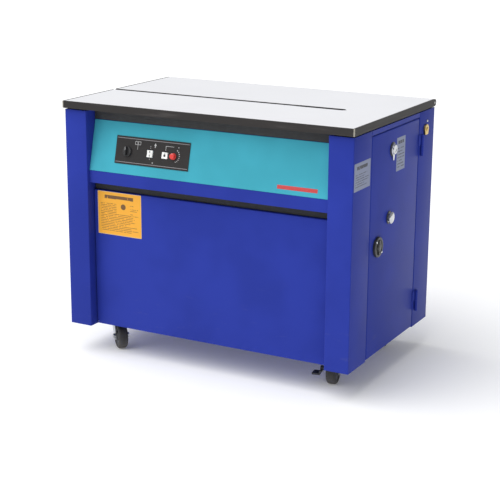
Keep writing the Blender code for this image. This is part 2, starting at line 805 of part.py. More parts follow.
latch_face = side_x + GAP
tongue_x = side_x - POST_FLANGE - SHEET
half_tongue = LATCH_TONGUE_WIDTH / 2
piece(
    "side_door_latch", BLACK,
    turned(
        [
            (0.0, tongue_x - OVERLAP - SHEET),
            (LATCH_SPINDLE, tongue_x - OVERLAP - SHEET),
            (LATCH_SPINDLE, latch_face),
            (LATCH_RADIUS, latch_face),
            (LATCH_RADIUS, latch_face + LATCH_HEIGHT * 0.5),
            (LATCH_RADIUS * 0.8, latch_face + LATCH_HEIGHT),
            (0.0, latch_face + LATCH_HEIGHT),
        ],
        latch, "X", ROUND,
    ),
    add=([block(
        (tongue_x - RUN - SHEET, latch[0] - half_tongue, latch[1] - half_tongue),
        (tongue_x - RUN, latch[0] + half_tongue, latch[1] + LATCH_TONGUE),
    )],),
    pivot=(side_x, *latch), on=side_door,
)
knob_tip = side_x + KNOB_REACH
knob_round = (KNOB_REACH - KNOB_NECK) / 2
knob_profile = [(0.0, latch_face), (KNOB_RADIUS * 0.8, latch_face)]
knob_profile.append((KNOB_RADIUS * 0.8, latch_face + KNOB_NECK / 2))
knob_profile.append((KNOB_RADIUS * 0.4, latch_face + KNOB_NECK))
for k in range(6):
    angle = radians(25.0 * (k + 1))
    knob_profile.append((KNOB_RADIUS * sin(angle), knob_tip - knob_round * (1 + cos(angle))))
knob_profile.append((0.0, knob_tip))
piece("side_door_knob", CHROME, turned(knob_profile, knob, "X", ROUND), on=side_door)
knob_foot = side_x + RUN
pointer_foot = tension[1] - TENSION_RADIUS + 0.0035
pointer = [(tension[0] - POINTER / 2, pointer_foot), (tension[0], pointer_foot - POINTER_LENGTH)]
pointer.append((tension[0] + POINTER / 2, pointer_foot))
piece(
    "tension_knob", CHROME,
    turned(
        [
            (0.0, side_x - CONTROL_DEPTH),
            (CONTROL_SHAFT, side_x - CONTROL_DEPTH),
            (CONTROL_SHAFT, knob_foot),
            (TENSION_RADIUS, knob_foot),
            (TENSION_RADIUS, knob_foot + 0.005),
            (TENSION_RADIUS * 0.82, knob_foot + 0.007),
            (TENSION_RADIUS * 0.82, side_x + TENSION_REACH - 0.002),
            (TENSION_RADIUS * 0.68, side_x + TENSION_REACH),
            (0.0, side_x + TENSION_REACH),
        ],
        tension, "X", ROUND,
    ),
    add=([prism(pointer, "X", knob_foot + RUN, knob_foot + 0.0045)],),
    pivot=(side_x, *tension), on=side_door,
)
clamp_outline = arc((clamp_y, clamp_z), CLAMP_RADIUS, -30.0, 210.0, 12)
clamp_tip = clamp_z - CLAMP_LENGTH
clamp_outline += [(clamp_y - CLAMP_RADIUS * 0.7, clamp_tip), (clamp_y + CLAMP_RADIUS * 0.7, clamp_tip)]
piece(
    "table_latch", ZINC,
    prism(clamp_outline, "X", side_x + GAP, side_x + GAP + CLAMP_THICKNESS),
    add=([rod((clamp_y, clamp_z), DOOR_PIN, "X", side_x - SHEET - 0.004, side_x + 0.003, SMALL)],),
    pivot=(side_x, clamp_y, clamp_z),
)


# Control box: blue housing, teal fascia, black plate and four controls

plate_left = -bay_x + PLATE_INSET
plate_right = plate_left + PLATE_LENGTH
power_x = plate_left + POWER_INSET
rocker_x = plate_left + ROCKER_INSET
button_x = plate_left + BUTTON_INSET
dial_x = plate_left + DIAL_INSET
slope_low = (front_y + FASCIA_BOTTOM_SET_BACK, fascia_bottom)
slope_high = (front_y + FASCIA_TOP_SET_BACK, fascia_top)
slope_length = hypot(slope_high[0] - slope_low[0], slope_high[1] - slope_low[1])
slope_tilt = atan2(slope_high[1] - slope_low[1], slope_high[0] - slope_low[0])
slope_step = (FASCIA + GAP) / sin(slope_tilt)
box_x = bay_x - GAP
box_back = front_y + BOX_DEPTH
slope_place = Matrix.Translation((0.0, *slope_low)) @ Matrix.Rotation(slope_tilt, 4, "X")
fascia_frame = frame("fascia_frame", (0.0, *slope_low), (slope_tilt, 0.0, 0.0), machine)
fascia_foot = GAP + FASCIA / tan(slope_tilt)
plate_top = GAP + PLATE


def control_holes(deepest, highest):
    """The openings that the four controls pass through, in the slope's own frame."""
    wide = ROCKER_WIDTH / 2 + RUN
    tall = ROCKER_LENGTH / 2 + ROCKER_ROOM
    button = BUTTON_SIDE / 2 + RUN
    low, high = CONTROL_ROW - button, CONTROL_ROW + button
    return [
        rod((power_x, CONTROL_ROW), CONTROL_SHAFT + RUN, "Z", deepest, highest, SMALL),
        rod((dial_x, CONTROL_ROW), CONTROL_SHAFT + RUN, "Z", deepest, highest, SMALL),
        block((rocker_x - wide, CONTROL_ROW - tall, deepest), (rocker_x + wide, CONTROL_ROW + tall, highest)),
        block((button_x - button, low, deepest), (button_x + button, high, highest)),
    ]


housing_holes = [moved(shape, slope_place) for shape in control_holes(-0.008, 0.004)]
housing = [
    (box_back, cabinet_top),
    (slope_high[0] + slope_step, cabinet_top),
    (slope_high[0] + slope_step, slope_high[1]),
    (slope_low[0] + slope_step, slope_low[1]),
    slope_low,
    (slope_low[0], lip_bottom),
    (slope_low[0] + LIP_RETURN, lip_bottom),
]
piece(
    "control_box", BLUE, prism(bent(housing, SHEET), "X", -box_x, box_x), cut=(housing_holes,),
)
piece(
    "control_fascia", TEAL, block((-box_x, fascia_foot, -FASCIA), (box_x, slope_length, 0.0)),
    cut=(control_holes(-0.008, 0.004),), on=fascia_frame,
)
piece(
    "control_plate", BLACK, block((plate_left, PLATE_LOW, GAP), (plate_right, PLATE_HIGH, plate_top)),
    cut=(control_holes(-0.008, 0.004),), on=fascia_frame,
)
piece(
    "finger_strip", RUBBER,
    block((-box_x, door_y + STRIP_SET_BACK, front_door_top + PANEL_GAP),
          (box_x, door_y + STRIP_SET_BACK + STRIP_DEPTH, lip_bottom - GAP)),
)


def knob_body(x, radius, height):
    """A round knob on a shaft that passes through the fascia."""
    foot = plate_top + RUN
    profile = [(0.0, -CONTROL_DEPTH), (CONTROL_SHAFT, -CONTROL_DEPTH), (CONTROL_SHAFT, foot), (radius, foot)]
    profile += [(radius, foot + height * 0.35), (radius * 0.86, foot + height), (0.0, foot + height)]
    return turned(profile, (x, CONTROL_ROW), "Z", ROUND)


grip = block(
    (power_x - POWER_GRIP / 2, CONTROL_ROW - POWER_RADIUS * 0.95, plate_top + 0.002),
    (power_x + POWER_GRIP / 2, CONTROL_ROW + POWER_RADIUS * 0.95, plate_top + POWER_HEIGHT),
)
piece(
    "power_switch", BLACK, knob_body(power_x, POWER_RADIUS, POWER_HEIGHT * 0.4), add=([grip],),
    pivot=(power_x, CONTROL_ROW, plate_top), on=fascia_frame,
)
half_rocker = ROCKER_LENGTH / 2
rocker_outline = [
    (CONTROL_ROW - half_rocker, -CONTROL_DEPTH),
    (CONTROL_ROW + half_rocker, -CONTROL_DEPTH),
    (CONTROL_ROW + half_rocker, plate_top + 0.0035),
    (CONTROL_ROW, plate_top + 0.0018),
    (CONTROL_ROW - half_rocker, plate_top + 0.0035),
]
piece(
    "feed_rocker", IVORY,
    prism(rocker_outline, "X", rocker_x - ROCKER_WIDTH / 2, rocker_x + ROCKER_WIDTH / 2),
    pivot=(rocker_x, CONTROL_ROW, -ROCKER_PIVOT_DEPTH), on=fascia_frame,
)
half_button = BUTTON_SIDE / 2
piece(
    "reset_button", IVORY,
    block((button_x - half_button, CONTROL_ROW - half_button, -CONTROL_DEPTH),
          (button_x + half_button, CONTROL_ROW + half_button, plate_top + BUTTON_HEIGHT)),
    pivot=(button_x, CONTROL_ROW, plate_top), on=fascia_frame,
)
piece(
    "length_dial", RED, knob_body(dial_x, DIAL_RADIUS, DIAL_HEIGHT),
    pivot=(dial_x, CONTROL_ROW, plate_top), on=fascia_frame,
)


# Table: board with the strap slot, dark edge strip, pivots at the rear corners

head_slot_start = CHEEK_LEFT + HEAD_SLOT_INSET
slot_end = head_slot_start + HEAD_SLOT_LENGTH
slot_left = -half_length - CUT
slot_outline = [(slot_left, SLOT_Y - SLOT_WIDTH / 2), (head_slot_start, SLOT_Y - SLOT_WIDTH / 2)]
slot_outline += [(head_slot_start, SLOT_Y - HEAD_SLOT_WIDTH / 2), (slot_end, SLOT_Y - HEAD_SLOT_WIDTH / 2)]
slot_point = slot_end + SLOT_TAPER
slot_outline += [(slot_point, SLOT_Y - SLOT_TIP / 2), (slot_point, SLOT_Y + SLOT_TIP / 2)]
slot_outline += [(slot_end, SLOT_Y + HEAD_SLOT_WIDTH / 2), (head_slot_start, SLOT_Y + HEAD_SLOT_WIDTH / 2)]
slot_outline += [(head_slot_start, SLOT_Y + SLOT_WIDTH / 2), (slot_left, SLOT_Y + SLOT_WIDTH / 2)]


def slot():
    return prism(slot_outline, "Z", edge_bottom - CUT, TABLE_HEIGHT + CUT)


def rectangle(x, front, rear):
    return [(-x, front), (x, front), (x, rear), (-x, rear)]


rear_rail = EDGE_HEIGHT / 2
rail_x = half_length - EDGE_WALL
bracket_out = side_x - SHEET - GAP
bracket_rear = rear_y - SHEET - GAP
hinge_ear = bracket_rear - table_hinge[0]
bracket_in = bracket_out - HINGE_BRACKET
pocket_in = bracket_in - HINGE_ROOM
pocket_front = table_hinge[0] - hinge_ear - HINGE_ROOM
pocket_top = table_hinge[1] + hinge_ear + 0.0015


def pockets(outer):
    """Room for the hinge ears, open below and to the rear."""
    low, high = edge_bottom - CUT, pocket_top
    return [
        block((-outer, pocket_front, low), (-pocket_in, half_depth + CUT, high)),
        block((pocket_in, pocket_front, low), (outer, half_depth + CUT, high)),
    ]


board_x = rail_x - GAP
piece(
    "table_top", WHITE,
    block((-board_x, -half_depth + EDGE_WALL + GAP, TABLE_HEIGHT - BOARD),
          (board_x, half_depth - rear_rail - GAP, TABLE_HEIGHT)),
    cut=([slot()] + pockets(board_x + CUT),), pivot=(0.0, *table_hinge),
)
nose = [(table_hinge[0], TABLE_HEIGHT + 0.001), (half_depth + 0.002, TABLE_HEIGHT + 0.001)]
nose += [(half_depth + 0.002, edge_bottom - 0.001), (table_hinge[0], edge_bottom - 0.001)]
nose += arc(table_hinge, rear_rail, -90.0, 90.0, 12)
edge = band(
    rectangle(half_length, -half_depth, half_depth),
    rectangle(rail_x, -half_depth + EDGE_WALL, half_depth - rear_rail),
    "Z", edge_bottom, TABLE_HEIGHT,
)
nose_cut = prism(nose, "X", -half_length - CUT, half_length + CUT)
pin_holes = [
    rod(table_hinge, HINGE_PIN + GAP, "X", side * rail_x - CUT, side * rail_x + CUT, SMALL)
    for side in (-1, 1)
]
piece(
    "table_edge", CHARCOAL, edge, cut=([slot()] + pin_holes, [nose_cut], pockets(rail_x)),
    pivot=(0.0, *table_hinge),
)

for side, name in ((-1, "hinge_bracket_left"), (1, "hinge_bracket_right")):
    bracket_front = bracket_rear - HINGE_BRACKET_WIDTH
    bracket_bottom = cabinet_top - HINGE_BRACKET_DROP
    outline = [(bracket_front, bracket_bottom), (bracket_rear, bracket_bottom)]
    outline += arc(table_hinge, hinge_ear, 0.0, 180.0, 8)
    outline += [(table_hinge[0] - hinge_ear, cabinet_top), (bracket_front, cabinet_top - 3 * SHEET)]
    low, high = sorted((side * bracket_in, side * bracket_out))
    pin_ends = sorted((side * (bracket_in + HINGE_BRACKET / 2), side * (half_length - GAP)))
    pin = rod(table_hinge, HINGE_PIN, "X", *pin_ends, SMALL)
    piece(name, STEEL, prism(outline, "X", low, high), add=([pin],))


# Mechanism frame: two cross beams, bed, cheeks, head block, slide rail, roller plate

bed_top = cabinet_top - BED_DROP
beam_bottom = cabinet_top - BEAM_DROP
beam_top = bed_top - BED / 2 - RUN
beam_x = side_x - SIDE_DOOR_DEPTH - PANEL_GAP
beam_front = side_front_y + GAP
beam_rear = side_rear_y - GAP
front_beam = [(beam_front + BEAM_FLANGE, beam_top), (beam_front, beam_top)]
front_beam += [(beam_front, beam_bottom), (beam_front + BEAM_FLANGE, beam_bottom)]
rear_beam = [(beam_rear - BEAM_FLANGE, beam_top), (beam_rear, beam_top)]
rear_beam += [(beam_rear, beam_bottom), (beam_rear - BEAM_FLANGE, beam_bottom)]
beams = [
    prism(bent(front_beam, SHEET), "X", -beam_x, beam_x),
    prism(bent(rear_beam, -SHEET), "X", -beam_x, beam_x),
]
bed_inside = bed_top - BED / 2
bed_right = beam_x - BED_SET_BACK
cheek_right = CHEEK_LEFT + HEAD_LENGTH
cheek_front = SLOT_Y - CHEEK_AHEAD
cheek_rear = SLOT_Y + CHEEK_BEHIND
cheek_top = cabinet_top - CHEEK_DROP
cheeks = [
    block((x, cheek_front, bed_inside), (x + CHEEK, cheek_rear, cheek_top)) for x in (CHEEK_LEFT, cheek_right)
]
head_left = CHEEK_LEFT + CHEEK / 2
head_right = cheek_right + CHEEK / 2
head_top = cheek_top - OVERLAP
head_front, head_rear = SLOT_Y - HEAD_BLOCK_DEPTH / 2, SLOT_Y + HEAD_BLOCK_DEPTH / 2
head_block_bottom = cabinet_top - HEAD_BLOCK_DROP
rail_front = SLOT_Y + RAIL_BEHIND
rail_rear = rail_front + RAIL_DEPTH
rail_top = cabinet_top - RAIL_DROP
crossings = [
    block((head_left, head_front, head_block_bottom), (head_right, head_rear, head_top)),
    block((head_left, rail_front, rail_top - RAIL_HEIGHT), (head_right, rail_rear, rail_top)),
]
roller_x = cheek_right + ROLLER_OUTSIDE
roller_plate_y = SLOT_Y + ROLLER_PLATE_BEHIND
feed_roller_z = cabinet_top - FEED_ROLLER_DROP
pinch_roller_z = feed_roller_z + 2 * ROLLER_RADIUS + ROLLER_STRAP_SPACE
roller_plate = block(
    (cheek_right + CHEEK - OVERLAP, roller_plate_y, bed_inside),
    (bed_right - BED, roller_plate_y + ROLLER_PLATE, cheek_top - 2 * OVERLAP),
)
roller_front = roller_plate_y - RUN - ROLLER_WIDTH
roller_pins = [
    rod((roller_x, z), ROLLER_PIN, "Y", roller_front - 0.003, roller_plate_y + ROLLER_PLATE / 2, SMALL)
    for z in (feed_roller_z, pinch_roller_z)
]
slide_top = cabinet_top - PANEL_GAP
slide_bottom = slide_top - SLIDE_PLATE
blade_top = slide_bottom - RUN
blade_bottom = blade_top - BLADE
gripper_top = blade_bottom - RUN - GRIPPER_LIFT
heater = (CHEEK_LEFT + HEATER_INSET, SLOT_Y + HEATER_BEHIND)
heater_post = rod(heater, HEATER_POST, "Z", bed_inside, blade_bottom - RUN, SMALL)
heater_pin = rod(heater, HEATER_PIN, "Z", blade_bottom - 0.010, slide_top, SMALL)
camshaft = (SLOT_Y, cabinet_top - CAMSHAFT_DROP)
grippers = ("left_gripper", "press_head", "right_gripper")
gripper_xs = {name: CHEEK_LEFT + GRIPPER_INSET + k * GRIPPER_PITCH for k, name in enumerate(grippers)}
shaft_holes = [
    rod(camshaft, CAMSHAFT_RADIUS + RUN, "X", x - SHEET, x + CHEEK + SHEET, ROUND)
    for x in (CHEEK_LEFT, cheek_right)
]
guide_holes = []
for x in gripper_xs.values():
    half_width = GRIPPER_WIDTH / 2 + RUN
    half_height = GRIPPER_DEPTH / 2 + RUN
    guide_holes.append(block(
        (x - half_width, SLOT_Y - half_height, head_block_bottom - CUT),
        (x + half_width, SLOT_Y + half_height, head_top + CUT),
    ))
piece(
    "mechanism_frame", STEEL,
    block((BED_LEFT, beam_front + 2 * SHEET, bed_top - BED), (bed_right, beam_rear - 2 * SHEET, bed_top)),
    add=(beams, cheeks, crossings, [roller_plate], roller_pins, [heater_post], [heater_pin]),
    cut=(shaft_holes + guide_holes,),
)


# Sealing head: camshaft, grippers, slide table, heater arm and feed rollers

cam = (camshaft[0], camshaft[1] - CAM_THROW)
cams = [
    rod(cam, CAM_RADIUS, "X", x - CAM_WIDTH / 2, x + CAM_WIDTH / 2, ROUND) for x in gripper_xs.values()
]
gearbox_right = CHEEK_LEFT - GEARBOX_ROOM
shaft_left = gearbox_right - SOCKET_DEPTH + SHEET
piece(
    "camshaft", STEEL,
    rod(camshaft, CAMSHAFT_RADIUS, "X", shaft_left, cheek_right + CHEEK + 2 * SHEET, ROUND),
    add=(cams,), pivot=(CHEEK_LEFT, *camshaft),
)
gripper_bottom = camshaft[1] + CAM_RADIUS + CAM_THROW + PANEL_GAP
for name, x in gripper_xs.items():
    piece(
        name, STEEL,
        block((x - GRIPPER_WIDTH / 2, SLOT_Y - GRIPPER_DEPTH / 2, gripper_bottom),
              (x + GRIPPER_WIDTH / 2, SLOT_Y + GRIPPER_DEPTH / 2, gripper_top)),
        pivot=(x, SLOT_Y, gripper_bottom),
    )
slide_front = head_front + SHEET
slide_left = CHEEK_LEFT + SLIDE_INSET
slide_right = slide_left + SLIDE_LENGTH
slide_foot = block(
    (slide_right - SLIDE_FOOT, rail_front + SHEET, rail_top + GAP),
    (slide_right - SHEET, rail_rear - SHEET, slide_bottom + OVERLAP),
)
piece(
    "slide_table", STEEL,
    block((slide_left, slide_front, slide_bottom), (slide_right, rail_rear, slide_top)),
    add=([slide_foot],), pivot=(slide_left, slide_front, slide_bottom),
)
press_x = gripper_xs["press_head"]
heater_reach = hypot(press_x - heater[0], SLOT_Y - heater[1])
heater_angle = degrees(atan2(SLOT_Y - heater[1], press_x - heater[0])) + HEATER_SWING
half_blade = HEATER_WIDTH / 2
turn = radians(heater_angle)
tip = (heater[0] + heater_reach * cos(turn), heater[1] + heater_reach * sin(turn))
blade = arc(heater, half_blade, heater_angle + 90.0, heater_angle + 270.0, 8)
blade += arc(tip, half_blade * 0.6, heater_angle - 90.0, heater_angle + 90.0, 4)
piece(
    "heater_arm", STEEL, prism(blade, "Z", blade_bottom, blade_top),
    cut=([rod(heater, HEATER_PIN + GAP, "Z", blade_bottom - CUT, blade_top + CUT, SMALL)],),
    pivot=(*heater, blade_bottom),
)
for name, z in (("feed_roller", feed_roller_z), ("pinch_roller", pinch_roller_z)):
    ring = band(
        circle((roller_x, z), ROLLER_RADIUS, ROUND), circle((roller_x, z), ROLLER_PIN + RUN, ROUND),
        "Y", roller_front, roller_plate_y - RUN,
    )
    piece(name, RUBBER, ring, pivot=(roller_x, roller_front, z))


# Drive: gearbox, motor, two pulleys and the belt

gearbox_left = gearbox_right - GEARBOX_WIDTH
gearbox_front, gearbox_rear = SLOT_Y - GEARBOX_DEPTH / 2, SLOT_Y + GEARBOX_DEPTH / 2
gearbox_top = cabinet_top - GEARBOX_DROP
pulley_front = SLOT_Y + PULLEY_BEHIND
pulley_rear = pulley_front + PULLEY_WIDTH
gearbox_shaft = (gearbox_left + GEARBOX_WIDTH / 2, cabinet_top - GEARBOX_PULLEY_DROP)
shaft_end = pulley_rear + 2 * SHEET
socket = rod(camshaft, CAMSHAFT_RADIUS + RUN, "X", gearbox_right - SOCKET_DEPTH, gearbox_right + CUT, ROUND)
piece(
    "gearbox", CAST,
    block((gearbox_left, gearbox_front, bed_top + GAP), (gearbox_right, gearbox_rear, gearbox_top)),
    add=([rod(gearbox_shaft, DRIVE_SHAFT, "Y", gearbox_rear - OVERLAP, shaft_end, SMALL)],), cut=([socket],),
)
motor_x = gearbox_shaft[0] - PULLEY_SPAN
motor_rear = pulley_front - MOTOR_PULLEY_ROOM
motor_front = motor_rear - MOTOR_LENGTH
motor_axis = (motor_x, bed_top + GAP + MOTOR_FOOT_HEIGHT + MOTOR_RADIUS - MOTOR_SEAT)
motor_foot = block(
    (motor_x - MOTOR_FOOT_WIDTH / 2, motor_front + MOTOR_FOOT_INSET, bed_top + GAP),
    (motor_x + MOTOR_FOOT_WIDTH / 2, motor_rear - MOTOR_FOOT_INSET, bed_top + GAP + MOTOR_FOOT_HEIGHT),
)
piece(
    "motor", CAST, rod(motor_axis, MOTOR_RADIUS, "Y", motor_front, motor_rear, FINE),
    add=([motor_foot, rod(motor_axis, DRIVE_SHAFT, "Y", motor_rear - OVERLAP, shaft_end, SMALL)],),
)


def pulley(name, axis, radius):
    """A flat pulley with two rims."""
    bore = DRIVE_SHAFT + RUN
    rim = radius + PULLEY_RIM
    profile = [(bore, pulley_front), (rim, pulley_front), (rim, pulley_front + PULLEY_FLANGE)]
    profile += [(radius, pulley_front + PULLEY_FLANGE), (radius, pulley_rear - PULLEY_FLANGE)]
    profile += [(rim, pulley_rear - PULLEY_FLANGE), (rim, pulley_rear), (bore, pulley_rear)]
    piece(name, STEEL, turned(profile, axis, "Y", ROUND), pivot=(axis[0], pulley_front, axis[1]))


pulley("motor_pulley", motor_axis, MOTOR_PULLEY_RADIUS)
pulley("gearbox_pulley", gearbox_shaft, GEARBOX_PULLEY_RADIUS)


def belt_line(extra):
    """The path round both pulleys at a distance from their faces."""
    run = hypot(gearbox_shaft[0] - motor_axis[0], gearbox_shaft[1] - motor_axis[1])
    slant = degrees(atan2(gearbox_shaft[1] - motor_axis[1], gearbox_shaft[0] - motor_axis[0]))
    spread = degrees(atan2(GEARBOX_PULLEY_RADIUS - MOTOR_PULLEY_RADIUS, run))
    turn = 90.0 + spread
    path = arc(motor_axis, MOTOR_PULLEY_RADIUS + extra, slant + turn, slant + 360.0 - turn, 14)
    path += arc(gearbox_shaft, GEARBOX_PULLEY_RADIUS + extra, slant - turn, slant + turn, 18)
    return path


belt_front = pulley_front + PULLEY_FLANGE + RUN
belt_rear = pulley_rear - PULLEY_FLANGE - RUN
piece("drive_belt", RUBBER, band(belt_line(RUN + BELT), belt_line(RUN), "Y", belt_front, belt_rear))


# Strap channel from the left edge to the sealing head

channel_top = TABLE_HEIGHT - BOARD - CHANNEL_ROOM
channel_bottom = channel_top - CHANNEL_HEIGHT
channel = [
    (SLOT_Y - CHANNEL_WIDTH / 2, channel_top),
    (SLOT_Y - CHANNEL_WIDTH / 2, channel_bottom),
    (SLOT_Y + CHANNEL_WIDTH / 2, channel_bottom),
    (SLOT_Y + CHANNEL_WIDTH / 2, channel_top),
]
channel_left = -side_x + SIDE_DOOR_DEPTH + GAP
piece(
    "strap_channel", STEEL,
    prism(bent(channel, CHANNEL_WALL), "X", channel_left, CHEEK_LEFT - GAP),
    add=([block(
        (CHANNEL_FOOT_X - CHANNEL_FOOT / 2, SLOT_Y - CHANNEL_FOOT / 2, bed_top + GAP),
        (CHANNEL_FOOT_X + CHANNEL_FOOT / 2, SLOT_Y + CHANNEL_FOOT / 2, channel_bottom + CHANNEL_WALL / 2),
    )],),
)


# Strap reel: stand with shaft, drum with rear flange, front flange, coil, brake arm

reel_front = door_y + REEL_SET_BACK
reel_back = reel_front + REEL_WIDTH
coil_radius = REEL_RADIUS - COIL_SET_IN
reel_axis = (REEL_X, base_floor + REEL_LIFT + REEL_RADIUS)
brake_pivot = (REEL_X + REEL_RADIUS + BRAKE_PIVOT_OUTSIDE, reel_axis[1] + BRAKE_PIVOT_RISE)
brake_end = (brake_pivot[0] + BRAKE_REACH, brake_pivot[1] + BRAKE_RISE)
stand_y = reel_back + STAND_BEHIND
stand_base = base_floor + GAP
stand_left, stand_right = REEL_X - STAND_LEFT, REEL_X + STAND_RIGHT
stand_top = reel_axis[1] + STAND_RISE
stand_shoulder = stand_top - STAND_SHOULDER
stand_outline = [(stand_left, stand_base), (stand_right, stand_base), (stand_right, stand_shoulder)]
stand_outline += [(stand_right - STAND_SHOULDER, stand_top), (stand_left + STAND_SHOULDER, stand_top)]
stand_outline.append((stand_left, stand_shoulder))
stand_foot = block(
    (stand_left + OVERLAP, stand_y + OVERLAP, stand_base + GAP),
    (stand_right - OVERLAP, stand_y + STAND_FOOT, stand_base + STAND_SHEET),
)
boss_front = reel_front - REEL_FLANGE - REEL_BOSS_PROUD
boss_rear = reel_back + REEL_FLANGE + REEL_BOSS_PROUD
pin_rear = stand_y + STAND_SHEET / 2
piece(
    "reel_stand", BLUE, prism(stand_outline, "Y", stand_y, stand_y + STAND_SHEET),
    add=([stand_foot],
         [rod(reel_axis, REEL_SHAFT, "Y", boss_front - REEL_BOSS_PROUD, pin_rear, ROUND),
          rod(brake_pivot, BRAKE_PIN, "Y", reel_back - BRAKE_THICKNESS - SHEET, pin_rear, SMALL)]),
)
bore = REEL_SHAFT + RUN
hub_profile = [
    (bore, boss_rear),
    (bore, boss_front),
    (REEL_BOSS, boss_front),
    (REEL_BOSS, reel_back),
    (DRUM_RADIUS - DRUM_WALL, reel_back),
    (DRUM_RADIUS - DRUM_WALL, reel_front),
    (DRUM_RADIUS, reel_front),
    (DRUM_RADIUS, reel_back),
    (REEL_RADIUS, reel_back),
    (REEL_RADIUS, reel_back + REEL_FLANGE),
    (REEL_BOSS, reel_back + REEL_FLANGE),
    (REEL_BOSS, boss_rear),
]
reel = piece(
    "reel_hub", BLUE, turned(hub_profile, reel_axis, "Y", FINE), pivot=(REEL_X, reel_back, reel_axis[1])
)


def reel_ring(name, look, inner, outer, front, rear):
    ring = band(circle(reel_axis, outer, FINE), circle(reel_axis, inner, FINE), "Y", front, rear)
    piece(name, look, ring, pivot=(REEL_X, front, reel_axis[1]), on=reel)


reel_ring("reel_front_flange", BLUE, REEL_BOSS + GAP, REEL_RADIUS, reel_front - REEL_FLANGE, reel_front - GAP)
reel_ring("strap_coil", STRAP, DRUM_RADIUS + GAP, coil_radius, reel_front + GAP, reel_back - GAP)

pad_turn = radians(BRAKE_PAD_ANGLE)
pad_reach = REEL_RADIUS + BRAKE_PAD + RUN
pad = (REEL_X + pad_reach * cos(pad_turn), reel_axis[1] + pad_reach * sin(pad_turn))
to_pad = degrees(atan2(pad[1] - brake_pivot[1], pad[0] - brake_pivot[0]))
to_end = degrees(atan2(brake_end[1] - brake_pivot[1], brake_end[0] - brake_pivot[0]))
brake_front = reel_back - BRAKE_THICKNESS / 3
brake_rear = brake_front + BRAKE_THICKNESS
short_arm = arc(brake_pivot, BRAKE_EYE, to_pad - 270.0, to_pad - 90.0, 6)
short_arm += arc(pad, BRAKE_PAD, to_pad - 90.0, to_pad + 90.0, 6)
long_arm = arc(brake_pivot, BRAKE_EYE - RUN, to_end + 90.0, to_end + 270.0, 6)
long_arm += arc(brake_end, BRAKE_TIP, to_end - 90.0, to_end + 90.0, 6)
piece(
    "reel_brake_arm", STEEL, prism(short_arm, "Y", brake_front, brake_rear),
    add=([prism(long_arm, "Y", brake_front + RUN, brake_rear - RUN)],
         [rod(brake_end, BRAKE_ROD, "Y", brake_front - BRAKE_ROD_LENGTH, brake_front + SHEET, SMALL)]),
    cut=([rod(brake_pivot, BRAKE_PIN + GAP, "Y", brake_front - CUT, brake_rear + CUT, SMALL)],),
    pivot=(brake_pivot[0], brake_front, brake_pivot[1]),
)


# Electrics box on the base, its open side shut by the rear panel

electrics_left = -side_x + ELECTRICS_INSET
electrics_rear = base_rear - ELECTRICS_SET_IN
piece(
    "electrics_box", CAST,
    tray((electrics_left, electrics_rear - ELECTRICS_DEPTH, stand_base),
         (electrics_left + ELECTRICS_WIDTH, electrics_rear, stand_base + ELECTRICS_HEIGHT), SHEET, "Y", True),
)
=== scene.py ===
import json
from math import cos, pi, radians, sin

import bpy
from mathutils import Matrix, Quaternion, Vector


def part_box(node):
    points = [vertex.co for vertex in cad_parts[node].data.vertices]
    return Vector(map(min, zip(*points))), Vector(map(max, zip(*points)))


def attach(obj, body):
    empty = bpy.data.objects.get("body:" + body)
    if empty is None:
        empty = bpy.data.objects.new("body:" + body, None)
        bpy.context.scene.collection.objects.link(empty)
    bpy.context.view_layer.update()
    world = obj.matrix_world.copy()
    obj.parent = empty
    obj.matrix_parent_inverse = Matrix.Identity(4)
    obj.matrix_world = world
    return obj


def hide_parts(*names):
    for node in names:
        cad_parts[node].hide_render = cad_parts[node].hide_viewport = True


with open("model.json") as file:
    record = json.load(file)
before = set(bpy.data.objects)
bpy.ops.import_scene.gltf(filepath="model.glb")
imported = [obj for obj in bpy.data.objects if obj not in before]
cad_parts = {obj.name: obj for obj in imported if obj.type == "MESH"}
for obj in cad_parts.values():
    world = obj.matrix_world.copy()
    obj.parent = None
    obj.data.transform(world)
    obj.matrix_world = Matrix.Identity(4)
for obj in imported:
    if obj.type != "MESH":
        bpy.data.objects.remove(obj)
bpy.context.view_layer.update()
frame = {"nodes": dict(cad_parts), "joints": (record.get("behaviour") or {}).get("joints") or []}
nodes = frame["nodes"]
joints = {joint["name"]: joint for joint in frame["joints"]}

# Casters. Pressed zinc-plated forks swing under the base on a ball race, with 75 mm rubber wheels on
# bolted axles. Two of them carry a foot brake lever. Tyre and hub are turned; nuts are pressed on.

RIGHT = Vector((1.0, 0.0, 0.0))
REAR = Vector((0.0, 1.0, 0.0))
UP = Vector((0.0, 0.0, 1.0))


